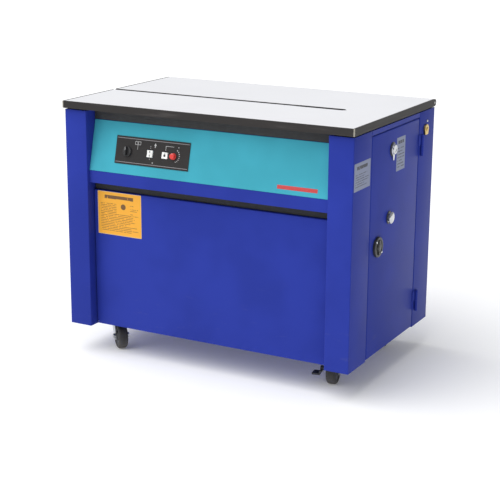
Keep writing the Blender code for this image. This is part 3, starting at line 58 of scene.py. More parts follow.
class Wire:
    """A socket of a finish. Sums and products of wires add Math nodes, so a finish reads as a formula."""

    def __init__(self, tree, socket):
        self.tree = tree
        self.socket = socket

    def node(self, kind, inputs, output=0, **settings):
        """Any other node, from its settings and what its inputs are given, which are values or wires."""
        made = self.tree.nodes.new("ShaderNode" + kind)
        for name, value in settings.items():
            setattr(made, name, value)
        for name, value in inputs.items():
            socket = made.inputs[name]
            if isinstance(value, Wire):
                self.tree.links.new(value.socket, socket)
            else:
                socket.default_value = value
        return Wire(self.tree, made.outputs[output])

    def maths(self, operation, *others):
        """A Math node: this wire first, then any others."""
        return self.node("Math", dict(enumerate((self, *others))), operation=operation)

    def __add__(self, other):
        return self.maths("ADD", other)

    def __sub__(self, other):
        return self.maths("SUBTRACT", other)

    def __rsub__(self, other):
        return self.node("Math", {0: other, 1: self}, operation="SUBTRACT")

    def __mul__(self, other):
        return self.maths("MULTIPLY", other)

    def __truediv__(self, other):
        return self.maths("DIVIDE", other)

    def __lt__(self, other):
        return self.maths("LESS_THAN", other)

    def __gt__(self, other):
        return self.maths("GREATER_THAN", other)

    __radd__ = __add__
    __rmul__ = __mul__

    def within(self, low, high):
        """1 between two values, 0 outside."""
        return (self > low) * (self < high)

    def soft(self, low, high):
        """0 below the low value, 1 above the high one, smooth between."""
        wanted = {"Value": self, "From Min": low, "From Max": high}
        return self.node("MapRange", wanted, interpolation_type="SMOOTHSTEP")

    def parts(self):
        """The three numbers of a vector."""
        split = self.node("SeparateXYZ", {"Vector": self})
        outputs = split.socket.node.outputs
        return [Wire(self.tree, output) for output in outputs]

    def noise(self, size, detail=2.0, rough=0.5, stretch=None):
        """Cloudy variation from 0 to 1 whose patches are about as wide as size, in metres."""
        place = self
        if stretch:
            place = self.node("VectorMath", {0: self, 1: stretch}, operation="MULTIPLY")
        wanted = {"Vector": place, "Scale": 1.0 / size, "Detail": detail, "Roughness": rough}
        return self.node("TexNoise", wanted)

    def mix(self, first, second):
        """The first colour where this is 0, the second where it is 1."""
        first, second = [c if isinstance(c, Wire) else (*c, 1.0) for c in (first, second)]
        return self.node("Mix", {0: self, 6: first, 7: second}, output=2, data_type="RGBA")

    def bump(self, depth):
        """Surface relief: this wire, from 0 to 1, is as deep as depth in metres."""
        return self.node("Bump", {"Height": self * depth, "Strength": 1.0, "Distance": 1.0})


def new_finish(name, metallic=0.0, **fixed):
    """A material, the wire of its place on the piece, and a way to feed its shader."""
    material = bpy.data.materials.new(name)
    material.use_nodes = True
    tree = material.node_tree
    shader = tree.nodes["Principled BSDF"]
    shader.inputs["Metallic"].default_value = metallic
    for socket, value in fixed.items():
        shader.inputs[socket.replace("_", " ")].default_value = value
    place = Wire(tree, tree.nodes.new("ShaderNodeTexCoord").outputs["Object"])

    def feed(**wires):
        for socket, wire in wires.items():
            tree.links.new(wire.socket, shader.inputs[socket.replace("_", " ")])
        return material

    return place, feed


def plated(name, base, shade, rough, grain=(1.0, 1.0, 1.0), patch=0.012):
    """Bare or plated metal: cloudy patches, a fine drawn grain and faint hairlines."""
    place, feed = new_finish(name, metallic=1.0)
    cloud = place.noise(patch, 3.0)
    grains = place.noise(0.0012, 2.0, stretch=grain)
    hair = place.noise(0.0004, 1.0, stretch=grain)
    colour = cloud.soft(0.3, 0.7).mix(shade, base)
    return feed(
        Base_Color=(grains * 0.35).mix(colour, shade),
        Roughness=rough + (cloud - 0.5) * 0.14 + (hair - 0.5) * 0.10,
        Normal=(grains * 0.6 + hair * 0.4).bump(0.00002),
    )


def moulded(name, base, rough, grain=0.0009, depth=0.00002):
    """Moulded plastic: a fine etched grain, faint flow clouds and rubbed spots."""
    place, feed = new_finish(name)
    cloud = place.noise(0.02, 3.0)
    etched = place.noise(grain, 2.0)
    lighter = tuple(min(1.0, c * 1.25 + 0.004) for c in base)
    return feed(
        Base_Color=cloud.soft(0.35, 0.75).mix(base, lighter),
        Roughness=rough + (cloud - 0.5) * 0.16,
        Normal=etched.bump(depth),
    )


def dress(node, finish, edge=0.0, segments=2):
    """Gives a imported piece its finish, and rounds its edges."""
    piece = nodes[node]
    piece.material_slots[0].material = finish
    if edge:
        weld = piece.modifiers.new("weld", "WELD")
        weld.merge_threshold = 0.00002
        flat = piece.modifiers.new("flat", "DECIMATE")
        flat.decimate_type = "DISSOLVE"
        flat.angle_limit = radians(0.8)
        rounding = piece.modifiers.new("rounding", "BEVEL")
        rounding.width = edge
        rounding.segments = segments
        rounding.limit_method = "ANGLE"
        rounding.angle_limit = radians(38.0)
    return piece


def select_only(*pieces):
    """Selects these pieces and nothing else, with the first one active."""
    bpy.ops.object.select_all(action="DESELECT")
    for piece in pieces:
        piece.select_set(True)
    bpy.context.view_layer.objects.active = pieces[0]


def start(primitive, **where):
    """Adds one of Blender's primitives with nothing else selected."""
    bpy.ops.object.select_all(action="DESELECT")
    primitive(**where)
    return bpy.context.object


def choose(piece, kind, wanted):
    """In edit mode, selects the faces, edges or points that a test on their middle and direction picks."""
    bpy.ops.object.mode_set(mode="EDIT")
    bpy.ops.mesh.select_mode(type=kind)
    bpy.ops.mesh.select_all(action="DESELECT")
    bpy.ops.object.mode_set(mode="OBJECT")
    mesh = piece.data
    if kind == "FACE":
        for face in mesh.polygons:
            face.select = wanted(face.center, face.normal)
    else:
        for edge in mesh.edges:
            ends = [mesh.vertices[k].co for k in edge.vertices]
            edge.select = wanted((ends[0] + ends[1]) / 2, (ends[1] - ends[0]).normalized())
    bpy.ops.object.mode_set(mode="EDIT")


def apply(piece, kind, **settings):
    """Adds a modifier and applies it."""
    modifier = piece.modifiers.new(kind.lower(), kind)
    for name, value in settings.items():
        setattr(modifier, name, value)
    select_only(piece)
    bpy.ops.object.modifier_apply(modifier=modifier.name)


def settle(piece):
    """Puts the piece's place into its mesh."""
    select_only(piece)
    bpy.ops.object.transform_apply(location=True, rotation=True, scale=True)


def finished(piece, name, finish, body, slot, *stands_for, smooth=35.0):
    """Names the piece, shades it, gives it its finish and lets it ride on its body."""
    piece.name = name
    piece.data.name = name
    settle(piece)
    bpy.ops.object.shade_smooth_by_angle(angle=radians(smooth))
    piece.data.materials.clear()
    piece.data.materials.append(finish)
    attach(piece, body)
    if stands_for:
        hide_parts(*stands_for)
    return piece


def join(pieces):
    select_only(*pieces)
    bpy.ops.object.join()
    return pieces[0]


def drawn(points):
    """A line of points: one point, extruded from each to the next."""
    piece = start(bpy.ops.mesh.primitive_plane_add, size=0.001, location=points[0])
    bpy.ops.object.mode_set(mode="EDIT")
    bpy.ops.mesh.select_mode(type="VERT")
    bpy.ops.mesh.select_all(action="SELECT")
    bpy.ops.mesh.merge(type="CENTER")
    for here, there in zip(points, points[1:]):
        bpy.ops.mesh.extrude_region_move(TRANSFORM_OT_translate={"value": there - here})
    bpy.ops.mesh.select_all(action="SELECT")
    return piece


def raise_top(piece, inset, rise):
    """Insets the face that looks up and moves it up or down. The piece stays in edit mode."""
    choose(piece, "FACE", lambda middle, way: way.z > 0.9)
    bpy.ops.mesh.inset(thickness=inset)
    bpy.ops.transform.translate(value=(0.0, 0.0, rise))


def turned(profile, centre, axis, steps=64):
    """A profile of (radius, place along the axis) turned once round the axis through a point."""
    axis = axis.normalized()
    across = axis.orthogonal().normalized()
    piece = drawn([centre + across * r + axis * d for r, d in profile])
    bpy.ops.mesh.spin(steps=steps, angle=2.0 * pi, center=centre, axis=axis)
    bpy.ops.mesh.select_all(action="SELECT")
    bpy.ops.mesh.remove_doubles(threshold=0.000002)
    bpy.ops.mesh.normals_make_consistent(inside=False)
    bpy.ops.object.mode_set(mode="OBJECT")
    return piece


def round_over(radius, height, corner, steps=4):
    """The profile of a disc's rim with a rounded upper corner, from the side up to the top."""
    middle = (radius - corner, height - corner)
    angles = [radians(90.0 * k / steps) for k in range(steps + 1)]
    return [(middle[0] + corner * cos(a), middle[1] + corner * sin(a)) for a in angles]


def nut(centre, axis, across_flats, height, bore=0.0):
    """A hexagon nut or bolt head with a chamfered outer face."""
    radius = across_flats / 1.732
    piece = start(bpy.ops.mesh.primitive_cylinder_add, vertices=6, radius=radius, depth=height)
    raise_top(piece, radius * 0.13, height * 0.12)
    if bore:
        bpy.ops.mesh.inset(thickness=radius * 0.87 - bore)
        bpy.ops.mesh.extrude_region_move(TRANSFORM_OT_translate={"value": (0.0, 0.0, -height * 0.3)})
    bpy.ops.object.mode_set(mode="OBJECT")
    piece.matrix_world = Matrix.Translation(centre) @ axis.to_track_quat("Z", "Y").to_matrix().to_4x4()
    settle(piece)
    return piece


ZINC = plated("zinc_plate", (0.58, 0.60, 0.62), (0.36, 0.37, 0.38), 0.34)
YELLOW_ZINC = plated("yellow_zinc", (0.74, 0.50, 0.12), (0.50, 0.38, 0.16), 0.32, patch=0.006)


def tyre_rubber():
    place, feed = new_finish("tyre_rubber")
    height = place.parts()[2]
    dust = place.noise(0.006, 4.0) * (1.0 - height.soft(0.004, 0.045))
    pores = place.noise(0.0008, 2.0)
    return feed(
        Base_Color=(dust * 0.9).mix((0.035, 0.034, 0.034), (0.16, 0.15, 0.14)),
        Roughness=0.72 + dust * 0.2,
        Normal=(pores + place.noise(0.004, 3.0) * 0.6).bump(0.00006),
    )


TYRE = tyre_rubber()
HUB_GREY = moulded("hub_grey", (0.075, 0.076, 0.080), 0.48)
BRAKE_BLACK = moulded("brake_black", (0.022, 0.022, 0.024), 0.45)

TYRE_HALF = 0.014
TREAD_ROUND = 0.006
HUB_BORE = 0.0056
NUT_OUT = 0.0215
WASHER_OUT = 0.0182
RACE_DROP = 0.0006
CORNERS = ("front_left", "front_right", "rear_left", "rear_right")
for corner in CORNERS:
    roll = joints[corner + "_roll"]
    centre, axle = Vector(roll["pos_m"]), Vector(roll["axis"])
    low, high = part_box(corner + "_wheel")
    radius = (high.z - low.z) / 2.0
    seat = radius * 0.70
    side = TYRE_HALF - 0.0005
    tread = [(seat, side - 0.0015), (seat + 0.001, side), (radius - TREAD_ROUND - 0.001, side)]
    for angle in (radians(20.0), radians(45.0), radians(70.0)):
        across = radius - TREAD_ROUND + TREAD_ROUND * sin(angle)
        tread.append((across, side - TREAD_ROUND + TREAD_ROUND * cos(angle)))
    tread += [(radius, side - TREAD_ROUND - 0.0005), (radius, 0.0005), (radius - 0.0006, 0.0)]
    tread += [(r, -d) for r, d in tread[-2::-1]]
    tyre = turned(tread + [tread[0]], centre, axle, 72)
    finished(tyre, corner + "_tyre", TYRE, corner + "_wheel", "rubber", corner + "_wheel")
    face = [(HUB_BORE, 0.0), (0.0125, 0.0), (0.0135, 0.001), (0.0145, 0.0035), (0.0225, 0.0045)]
    face += [(0.0245, 0.0030), (seat, 0.0025), (seat + 0.0004, 0.004)]
    face = [(r, TYRE_HALF - d) for r, d in face]
    hub = turned(face + [(r, -d) for r, d in face[::-1]] + [face[0]], centre, axle, 72)
    finished(hub, corner + "_hub", HUB_GREY, corner + "_wheel", "rubber")
    dress(corner + "_fork", ZINC, 0.0005)
    fork = []
    for side in (-1, 1):
        end = centre + axle * side * NUT_OUT
        fork.append(nut(end, axle * side, 0.0130, 0.0042, 0.0022))
        washer = [(0.0, 0.0), (0.0085, 0.0), (0.0085, 0.0010), (0.0, 0.0010)]
        fork.append(turned(washer, centre + axle * side * WASHER_OUT, axle * side, 32))
    swivel = Vector(joints[corner + "_swivel"]["pos_m"])
    race_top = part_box("base_frame")[0].z - RACE_DROP
    race = [(0.0, -0.0020), (0.0255, -0.0020), (0.0262, -0.0030), (0.0262, -0.0060)]
    race += [(0.0245, -0.0070), (0.0, -0.0070)]
    fork.append(turned(race, Vector((swivel.x, swivel.y, race_top)), UP, 48))
    finished(join(fork), corner + "_axle_nuts", ZINC, corner + "_fork", "steel")
for corner in ("front_right", "rear_left"):
    dress(corner + "_brake_pedal", BRAKE_BLACK, 0.0012, 3)


# Base tray. Folded sheet with a low rim, painted blue like the rest of the cabinet; the caster plates
# are bolted under it.

def powder_coat(name, base, rough=0.36, greying=1.0):
    """Baked powder paint: orange peel, slight unevenness, and greyer scuffs and specks that grow towards the
    floor.
    """
    place, feed = new_finish(name, Specular_IOR_Level=0.045)
    height = place.parts()[2]
    low_down = 1.0 - height.soft(0.08, 0.30)
    uneven = place.noise(0.16, 2.0)
    peel = place.noise(0.0022, 2.0)
    specks = place.noise(0.0035, 3.0).soft(0.66, 0.74)
    scuffs = place.noise(0.03, 5.0, 0.7, stretch=(0.35, 0.35, 1.6)).soft(0.60, 0.70)
    greyed = tuple(c * 0.72 + 0.05 for c in base)
    deep = tuple(c * 0.88 for c in base)
    painted = uneven.soft(0.35, 0.65).mix(deep, base)
    worn = (scuffs * 0.5 + specks * 0.35) * (low_down * 0.75 + 0.10) * greying
    return feed(
        Base_Color=worn.mix(painted, greyed),
        Roughness=rough + worn * 0.25 + (uneven - 0.5) * 0.06,
        Normal=peel.bump(0.00009),
    )


BLUE = powder_coat("blue_paint", (0.027, 0.046, 0.335))
TEAL = powder_coat("teal_paint", (0.062, 0.400, 0.510), 0.42, 0.4)

dress("base_frame", BLUE, 0.0006)
low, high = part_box("base_frame")
bolts = []
BOLT_REACH = 0.027
for corner in CORNERS:
    swivel = Vector(joints[corner + "_swivel"]["pos_m"])
    for x in (-BOLT_REACH, BOLT_REACH):
        for y in (-BOLT_REACH, BOLT_REACH):
            place = Vector((swivel.x + x, swivel.y + y, low.z - 0.0016))
            bolts.append(nut(place, -UP, 0.0100, 0.0032))
finished(join(bolts), "caster_bolts", ZINC, "cabinet", "steel")


# Corner posts. Each is one sheet folded to a corner: a broad face, a deep side and a return that the
# doors close against. The front ones stand proud of the front door; the bends have a real radius.

def folded(points, run, thickness, bend, rim=0.0004):
    """Sheet folded along a line of points and drawn out along run, thickened to the line's left."""
    piece = drawn(points)
    bpy.ops.mesh.extrude_region_move(TRANSFORM_OT_translate={"value": run})
    bpy.ops.object.mode_set(mode="OBJECT")
    settle(piece)
    way = run.normalized()
    ends = (points[0], points[-1])

    def is_bend(middle, direction):
        if abs(direction.dot(way)) < 0.99:
            return False
        return all(((middle - end) - way * (middle - end).dot(way)).length > 0.0005 for end in ends)

    choose(piece, "EDGE", is_bend)
    bpy.ops.mesh.bevel(offset=bend, segments=5, affect="EDGES")
    bpy.ops.object.mode_set(mode="OBJECT")
    left = 1.0 if thickness > 0 else -1.0
    apply(piece, "SOLIDIFY", thickness=abs(thickness), offset=left, use_even_offset=True)
    if rim:
        apply(piece, "BEVEL", width=rim, segments=2, limit_method="ANGLE", angle_limit=radians(60.0))
    return piece


SHEET = 0.002
POST_RETURN = 0.0438
POST_FLANGE = 0.030
POST_FACE = 0.071
POST_BEND = 0.0022
for side, end in ((-1, "left"), (1, "right")):
    low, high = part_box(f"front_{end}_post")
    outer = low.x if side < 0 else high.x
    post_rise = UP * (high.z - low.z)
    bay = outer - side * POST_FACE
    outline = [
        Vector((bay, low.y + POST_RETURN, low.z)),
        Vector((bay, low.y, low.z)),
        Vector((outer, low.y, low.z)),
        Vector((outer, high.y, low.z)),
        Vector((outer - side * POST_FLANGE, high.y, low.z)),
    ]
    post = folded(outline, post_rise, -side * SHEET, POST_BEND)
    finished(post, f"post_front_{end}", BLUE, "cabinet", "blue_paint", f"front_{end}_post")
    low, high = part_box(f"rear_{end}_post")
    outline = [
        Vector((bay, high.y, low.z)),
        Vector((outer, high.y, low.z)),
        Vector((outer, low.y, low.z)),
        Vector((outer - side * POST_FLANGE, low.y, low.z)),
    ]
    post = folded(outline, post_rise, side * SHEET, POST_BEND)
    finished(post, f"post_rear_{end}", BLUE, "cabinet", "blue_paint", f"rear_{end}_post")


# Left panel, rear panel and the rail over the side door. Plain folded sheet, with the ventilation slots
# punched through before painting.

dress("left_panel", BLUE, 0.0007)
dress("rear_panel", BLUE, 0.0007)
dress("right_top_rail", BLUE, 0.0007)


# Control box. A blue housing folded round the slope, with a teal fascia screwed on, and a lip below
# that the hand reaches under. A near-black strip in the gap up to the table is painted shade.

def block(middle, size):
    """A box, from its middle and its size."""
    piece = start(bpy.ops.mesh.primitive_cube_add, size=1.0, location=middle, scale=size)
    settle(piece)
    return piece


dress("control_box", BLUE, 0.0005)
dress("control_fascia", TEAL, 0.0005)
# A near-black rubber finish that also serves as painted shade, on the strip under the table and on the finger
# strip.
SHADE_RUBBER = moulded("rubber_and_painted_shade", (0.026, 0.026, 0.027), 0.78, 0.0012, 0.00005)
low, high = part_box("control_fascia")
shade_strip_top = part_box("control_box")[1].z
# Painted shade: this strip stands in for the shade that the table's overhang casts in the gap above the
# fascia.
shade_strip = block(
    (0.5 * (low.x + high.x), high.y - 0.0006, 0.5 * (high.z + shade_strip_top) + 0.0006),
    (high.x - low.x, 0.0045, shade_strip_top - high.z - 0.0012),
)
apply(shade_strip, "BEVEL", width=0.0012, segments=3)
finished(shade_strip, "top_shade_strip", SHADE_RUBBER, "cabinet", "rubber")
# Dark rubber strip over the front door; its darkness is partly painted shade in the finger gap.
dress("finger_strip", SHADE_RUBBER, 0.0015, 3)


# Control plate. A black anodised plate on the slope, with two silver rules and white printed signs
# next to the switch, the rocker, the button and the dial.

outward = -Vector(joints["reset_button_press"]["axis"])
up_slope = outward.cross(RIGHT)
panel_zero = Vector(joints["power_switch_turn"]["pos_m"])
panel_zero.x = 0.0
PANEL = Matrix((
    (1.0, up_slope.x, outward.x, panel_zero.x),
    (0.0, up_slope.y, outward.y, panel_zero.y),
    (0.0, up_slope.z, outward.z, panel_zero.z),
    (0.0, 0.0, 0.0, 1.0),
))
control_x = {name: joints[joint]["pos_m"][0] for name, joint in (
    ("power", "power_switch_turn"), ("rocker", "feed_rocker_tilt"), ("dial", "length_dial_turn"))}
low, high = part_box("reset_button")
control_x["button"] = (low.x + high.x) / 2.0


def on_slope(piece):
    """Moves a piece that was modelled flat, with up the slope as +Y, onto the control plate."""
    piece.matrix_world = PANEL @ piece.matrix_world
    settle(piece)
    return piece


def plate_black():
    place, feed = new_finish("plate_black", Specular_IOR_Level=0.18)
    brushed = place.noise(0.0009, 2.0, stretch=(0.05, 1.0, 1.0))
    smudge = place.noise(0.02, 4.0)
    return feed(
        Base_Color=(smudge * 0.5).mix((0.026, 0.024, 0.024), (0.040, 0.037, 0.036)),
        Roughness=0.34 + smudge * 0.2,
        Normal=brushed.bump(0.00001),
    )


def printing_ink(name, base):
    place, feed = new_finish(name)
    wear = place.noise(0.0016, 3.0)
    return feed(
        Base_Color=wear.soft(0.3, 0.8).mix(base, tuple(c * 0.72 for c in base)),
        Roughness=0.45 + wear * 0.15,
        Normal=wear.bump(0.00001),
    )


WHITE_INK = printing_ink("white_ink", (0.52, 0.52, 0.52))
DARK_INK = printing_ink("dark_ink", (0.03, 0.03, 0.03))
SILVER_RULE = printing_ink("silver_rule", (0.26, 0.25, 0.26))
dress("control_plate", plate_black(), 0.0003)

INK = 0.00012
LINE = 0.0011


def stroke(x, y, width, length, turn=0.0, lift=0.0):
    """A straight printed stroke, flat on the plate."""
    mark = start(bpy.ops.mesh.primitive_cube_add, size=1.0)
    mark.matrix_world = (
        Matrix.Translation((x, y, lift + INK / 2.0)) @ Matrix.Rotation(radians(turn), 4, "Z")
        @ Matrix.Diagonal((width, length, INK, 1.0))
    )
    settle(mark)
    raise_top(mark, 0.00008, 0.00002)
    bpy.ops.object.mode_set(mode="OBJECT")
    return mark


def curved_stroke(x, y, radius, first, last, width=LINE, steps=16, lift=0.0):
    """A printed arc between two angles in degrees."""
    angle = radians(first)
    inside = Vector((x + (radius - width / 2.0) * cos(angle), y + (radius - width / 2.0) * sin(angle), lift))
    outside = Vector((x + (radius + width / 2.0) * cos(angle), y + (radius + width / 2.0) * sin(angle), lift))
    mark = drawn([inside, outside])
    bpy.ops.mesh.spin(steps=steps, angle=radians(last - first), center=(x, y, lift), axis=(0.0, 0.0, 1.0))
    bpy.ops.mesh.select_all(action="SELECT")
    bpy.ops.mesh.remove_doubles(threshold=0.000001)
    bpy.ops.mesh.normals_make_consistent(inside=False)
    bpy.ops.object.mode_set(mode="OBJECT")
    apply(mark, "SOLIDIFY", thickness=INK, offset=1.0)
    return mark


def arrow_head(x, y, size, turn, lift=0.0):
    """A printed triangle that points up the slope before it is turned."""
    mark = start(bpy.ops.mesh.primitive_cylinder_add, vertices=3, radius=size, depth=INK)
    mark.matrix_world = Matrix.Translation((x, y, lift + INK / 2.0)) @ Matrix.Rotation(radians(turn), 4, "Z")
    settle(mark)
    return mark


low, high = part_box("control_plate")
plate_mid = (low.x + high.x) / 2.0
plate_long = high.x - low.x
rules = [stroke(plate_mid, y, plate_long - 0.006, 0.0017) for y in (0.0365, -0.0305)]
finished(on_slope(join(rules)), "plate_rules", SILVER_RULE, "cabinet", "ivory_plastic")

px, rx, bx, dx = [control_x[name] for name in ("power", "rocker", "button", "dial")]
sign = [
    stroke(px + 0.0318, 0.0300, 0.0185, LINE), stroke(px + 0.0318, 0.0215, 0.0185, LINE),
    stroke(px + 0.0230, 0.0258, LINE, 0.0085), stroke(px + 0.0406, 0.0258, LINE, 0.0085),
    stroke(px + 0.0318, 0.0170, LINE, 0.0180), arrow_head(px + 0.0318, 0.0262, 0.0030, 180.0),
    stroke(rx + 0.0005, 0.0205, LINE, 0.0035), stroke(rx + 0.0005, 0.0150, LINE, 0.0025),
    stroke(rx + 0.0005, -0.0150, LINE, 0.0035),
    arrow_head(rx + 0.0150, 0.0260, 0.0046, 0.0), stroke(rx + 0.0150, 0.0210, 0.0030, 0.0060),
    curved_stroke(rx + 0.0155, -0.0235, 0.0046, 10.0, 170.0, 0.0016),
    arrow_head(rx + 0.0109, -0.0242, 0.0028, 180.0),
    stroke(bx + 0.0010, 0.0195, LINE, 0.0125), stroke(bx + 0.0135, 0.0258, 0.0260, LINE),
    curved_stroke(dx + 0.0100, 0.0215, 0.0058, 40.0, 200.0), arrow_head(dx + 0.0142, 0.0255, 0.0022, 215.0),
]
for k in range(8):
    turn = -62.0 + 17.0 * k
    reach = 0.0165 + 0.0005 * k
    size = 0.0014 + 0.0002 * k
    sign.append(stroke(dx + reach * cos(radians(turn)), reach * sin(radians(turn)), 0.0032, size, turn))
finished(on_slope(join(sign)), "plate_signs", WHITE_INK, "cabinet", "ivory_plastic")


# Power switch: a black rotary switch with a raised grip across it and a white line that shows where
# it points, moulded in one and pressed on the shaft.

KNOB_BLACK = moulded("knob_black", (0.020, 0.020, 0.021), 0.38)
SWITCH_RADIUS = 0.0135
SWITCH_HEIGHT = 0.015
base = turned(
    [(0.0, 0.0005), (SWITCH_RADIUS, 0.0005)] + round_over(SWITCH_RADIUS, 0.0055, 0.0012) + [(0.0, 0.0055)],
    Vector((px, 0.0, 0.0)), UP,
)
grip_size = (0.0060, SWITCH_RADIUS * 1.86, SWITCH_HEIGHT - 0.0050)
grip = block((px, 0.0, (SWITCH_HEIGHT + 0.0040) / 2.0), grip_size)
choose(grip, "FACE", lambda middle, way: way.z > 0.9)
bpy.ops.transform.resize(value=(0.72, 0.96, 1.0))
bpy.ops.object.mode_set(mode="OBJECT")
apply(grip, "BEVEL", width=0.0009, segments=3)
switch = on_slope(join([base, grip]))
finished(switch, "power_knob", KNOB_BLACK, "power_switch", "black_plastic", "power_switch")
pointer = stroke(px, 0.0070, 0.0012, 0.0085, lift=SWITCH_HEIGHT - 0.0006)
finished(on_slope(pointer), "power_pointer", WHITE_INK, "power_switch", "ivory_plastic")


# Feed rocker and reset button: moulded ivory caps that come up through the plate. The rocker dips in
# the middle and has an arrow at each end; the button has a dark dot.

IVORY = moulded("ivory_cap", (0.80, 0.80, 0.78), 0.30, 0.0015, 0.00001)
RED = moulded("red_cap", (0.70, 0.048, 0.040), 0.30, 0.0015, 0.00001)
ROCKER_LENGTH = 0.0195
ROCKER_WIDTH = 0.0178
ROCKER_PROUD = 0.0027
CAP_SUNK = 0.0120
ROCKER_DIP = 0.0015
cap_size = (ROCKER_WIDTH, ROCKER_LENGTH, ROCKER_PROUD + CAP_SUNK)
cap = block((rx, 0.0, (ROCKER_PROUD - CAP_SUNK) / 2.0), cap_size)
bpy.ops.object.mode_set(mode="EDIT")
bpy.ops.mesh.select_all(action="SELECT")
bpy.ops.mesh.bisect(plane_co=(0.0, 0.0, 0.0), plane_no=(0.0, 1.0, 0.0))
choose(cap, "EDGE", lambda middle, way: middle.z > ROCKER_PROUD - 0.0001 and abs(middle.y) < 0.0001)
bpy.ops.transform.translate(value=(0.0, 0.0, -ROCKER_DIP))
bpy.ops.object.mode_set(mode="OBJECT")
apply(cap, "BEVEL", width=0.0007, segments=3, limit_method="ANGLE", angle_limit=radians(30.0))
finished(on_slope(cap), "rocker_cap", IVORY, "feed_rocker", "ivory_plastic", "feed_rocker")
ARROW_OUT = 0.0052
SLOPE = 0.1456
signs = []
for end in (-1, 1):
    turn = 0.0 if end > 0 else 180.0
    group = [arrow_head(rx, end * 0.0062, 0.0026, turn), stroke(rx, end * 0.0036, 0.0016, 0.0030)]
    mark = join(group)
    middle = ROCKER_PROUD - ROCKER_DIP + ARROW_OUT * SLOPE
    mark.matrix_world = (
        Matrix.Translation((rx, end * ARROW_OUT, middle)) @ Matrix.Rotation(radians(end * 8.3), 4, "X")
        @ Matrix.Translation((-rx, -end * ARROW_OUT, 0.0))
    )
    settle(mark)
    signs.append(mark)
finished(on_slope(join(signs)), "rocker_arrows", DARK_INK, "feed_rocker", "ivory_plastic")

BUTTON_SIDE = 0.0176
BUTTON_PROUD = 0.0030
cap = block((bx, 0.0, (BUTTON_PROUD - CAP_SUNK) / 2.0), (BUTTON_SIDE, BUTTON_SIDE, BUTTON_PROUD + CAP_SUNK))
BUTTON_DISH = 0.0006
raise_top(cap, 0.0022, -BUTTON_DISH)
bpy.ops.object.mode_set(mode="OBJECT")
apply(cap, "BEVEL", width=0.0006, segments=3, limit_method="ANGLE", angle_limit=radians(20.0))
finished(on_slope(cap), "button_cap", IVORY, "reset_button", "ivory_plastic", "reset_button")
dot = turned(
    [(0.0, 0.0), (0.0036, 0.0), (0.0036, INK), (0.0, INK)],
    Vector((bx, -0.0005, BUTTON_PROUD - BUTTON_DISH)), UP, 32,
)
top = stroke(bx, 0.0043, 0.0022, 0.0030, lift=BUTTON_PROUD - BUTTON_DISH)
finished(on_slope(join([dot, top])), "button_mark", DARK_INK, "reset_button", "black_plastic")


# Length dial: a red knob with a fluted rim and a shallow dished top, over a scale that widens as the
# strap gets longer.

DIAL_RADIUS = 0.0090
DIAL_HEIGHT = 0.0100
skirt = [(0.0, 0.0005), (DIAL_RADIUS, 0.0005), (DIAL_RADIUS, 0.0030), (DIAL_RADIUS * 0.92, 0.0036)]
dished = DIAL_HEIGHT - 0.0007
skirt += round_over(DIAL_RADIUS * 0.86, DIAL_HEIGHT, 0.0014)
skirt += [(DIAL_RADIUS * 0.55, DIAL_HEIGHT), (DIAL_RADIUS * 0.45, dished), (0.0, dished)]
dial = [turned(skirt, Vector((dx, 0.0, 0.0)), UP)]
for k in range(20):
    angle = radians(18.0 * k)
    rib = start(bpy.ops.mesh.primitive_cylinder_add, vertices=8, radius=0.00055, depth=DIAL_HEIGHT - 0.0055)
    out = DIAL_RADIUS * 0.87
    rib.location = (dx + out * cos(angle), out * sin(angle), DIAL_HEIGHT / 2.0 + 0.0012)
    settle(rib)
    dial.append(rib)
finished(on_slope(join(dial)), "dial_knob", RED, "length_dial", "red_plastic", "length_dial")
pointer = stroke(dx, 0.0062, 0.0009, 0.0042, lift=DIAL_HEIGHT)
finished(on_slope(pointer), "dial_pointer", WHITE_INK, "length_dial", "ivory_plastic")


# Badge. A plain red bar with no lettering, printed on the teal fascia low down at its right end, a
# little below the control plate.

RED_INK = printing_ink("red_ink", (0.60, 0.055, 0.055))
BADGE_INSET = 0.09365
badge_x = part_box("control_fascia")[1].x - BADGE_INSET
badge = stroke(0.0, 0.0, 0.118, 0.0105)
apply(badge, "BEVEL", width=0.00004, segments=2)
badge.matrix_world = Matrix.Translation((badge_x, -0.0465, -0.0015)) @ badge.matrix_world
settle(badge)
finished(on_slope(badge), "badge_bar", RED_INK, "cabinet", "red_plastic")


# Front door. A wide folded tray, hinged at its foot on two pins, with a safety sticker at its upper
# left corner. It is let in behind the posts, and the gap over it takes the fingers.

def tray(low, high, way, bend=0.0018, thickness=SHEET):
    """A sheet box with one open side, the one that faces way."""
    middle, size = (low + high) / 2.0, high - low
    piece = block(middle, size)
    choose(piece, "FACE", lambda centre, normal: normal.dot(way) > 0.9)
    bpy.ops.mesh.delete(type="FACE")
    bpy.ops.object.mode_set(mode="OBJECT")
    opening = (middle + way * abs(size.dot(way)) / 2.0).dot(way)
    choose(piece, "EDGE", lambda centre, direction: centre.dot(way) < opening - 0.0005)
    bpy.ops.mesh.bevel(offset=bend, segments=4, affect="EDGES")
    bpy.ops.object.mode_set(mode="OBJECT")
    apply(piece, "SOLIDIFY", thickness=thickness, offset=-1.0, use_even_offset=True)
    return piece


low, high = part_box("front_door")
door = tray(low, high, REAR)
finished(door, "door_front", BLUE, "front_door", "blue_paint", "front_door")
pins = []
hinge = Vector(joints["front_door_hinge"]["pos_m"])
for x, way in ((low.x + 0.0012, RIGHT), (high.x - 0.0012, -RIGHT)):
    bush = [(0.0032, 0.0), (0.0062, 0.0), (0.0062, 0.0035), (0.0050, 0.0045), (0.0032, 0.0045), (0.0032, 0.0)]
    pins.append(turned(bush, Vector((x, hinge.y, hinge.z)) + way * 0.0010, way, 32))
finished(join(pins), "door_bushes", ZINC, "front_door", "steel")


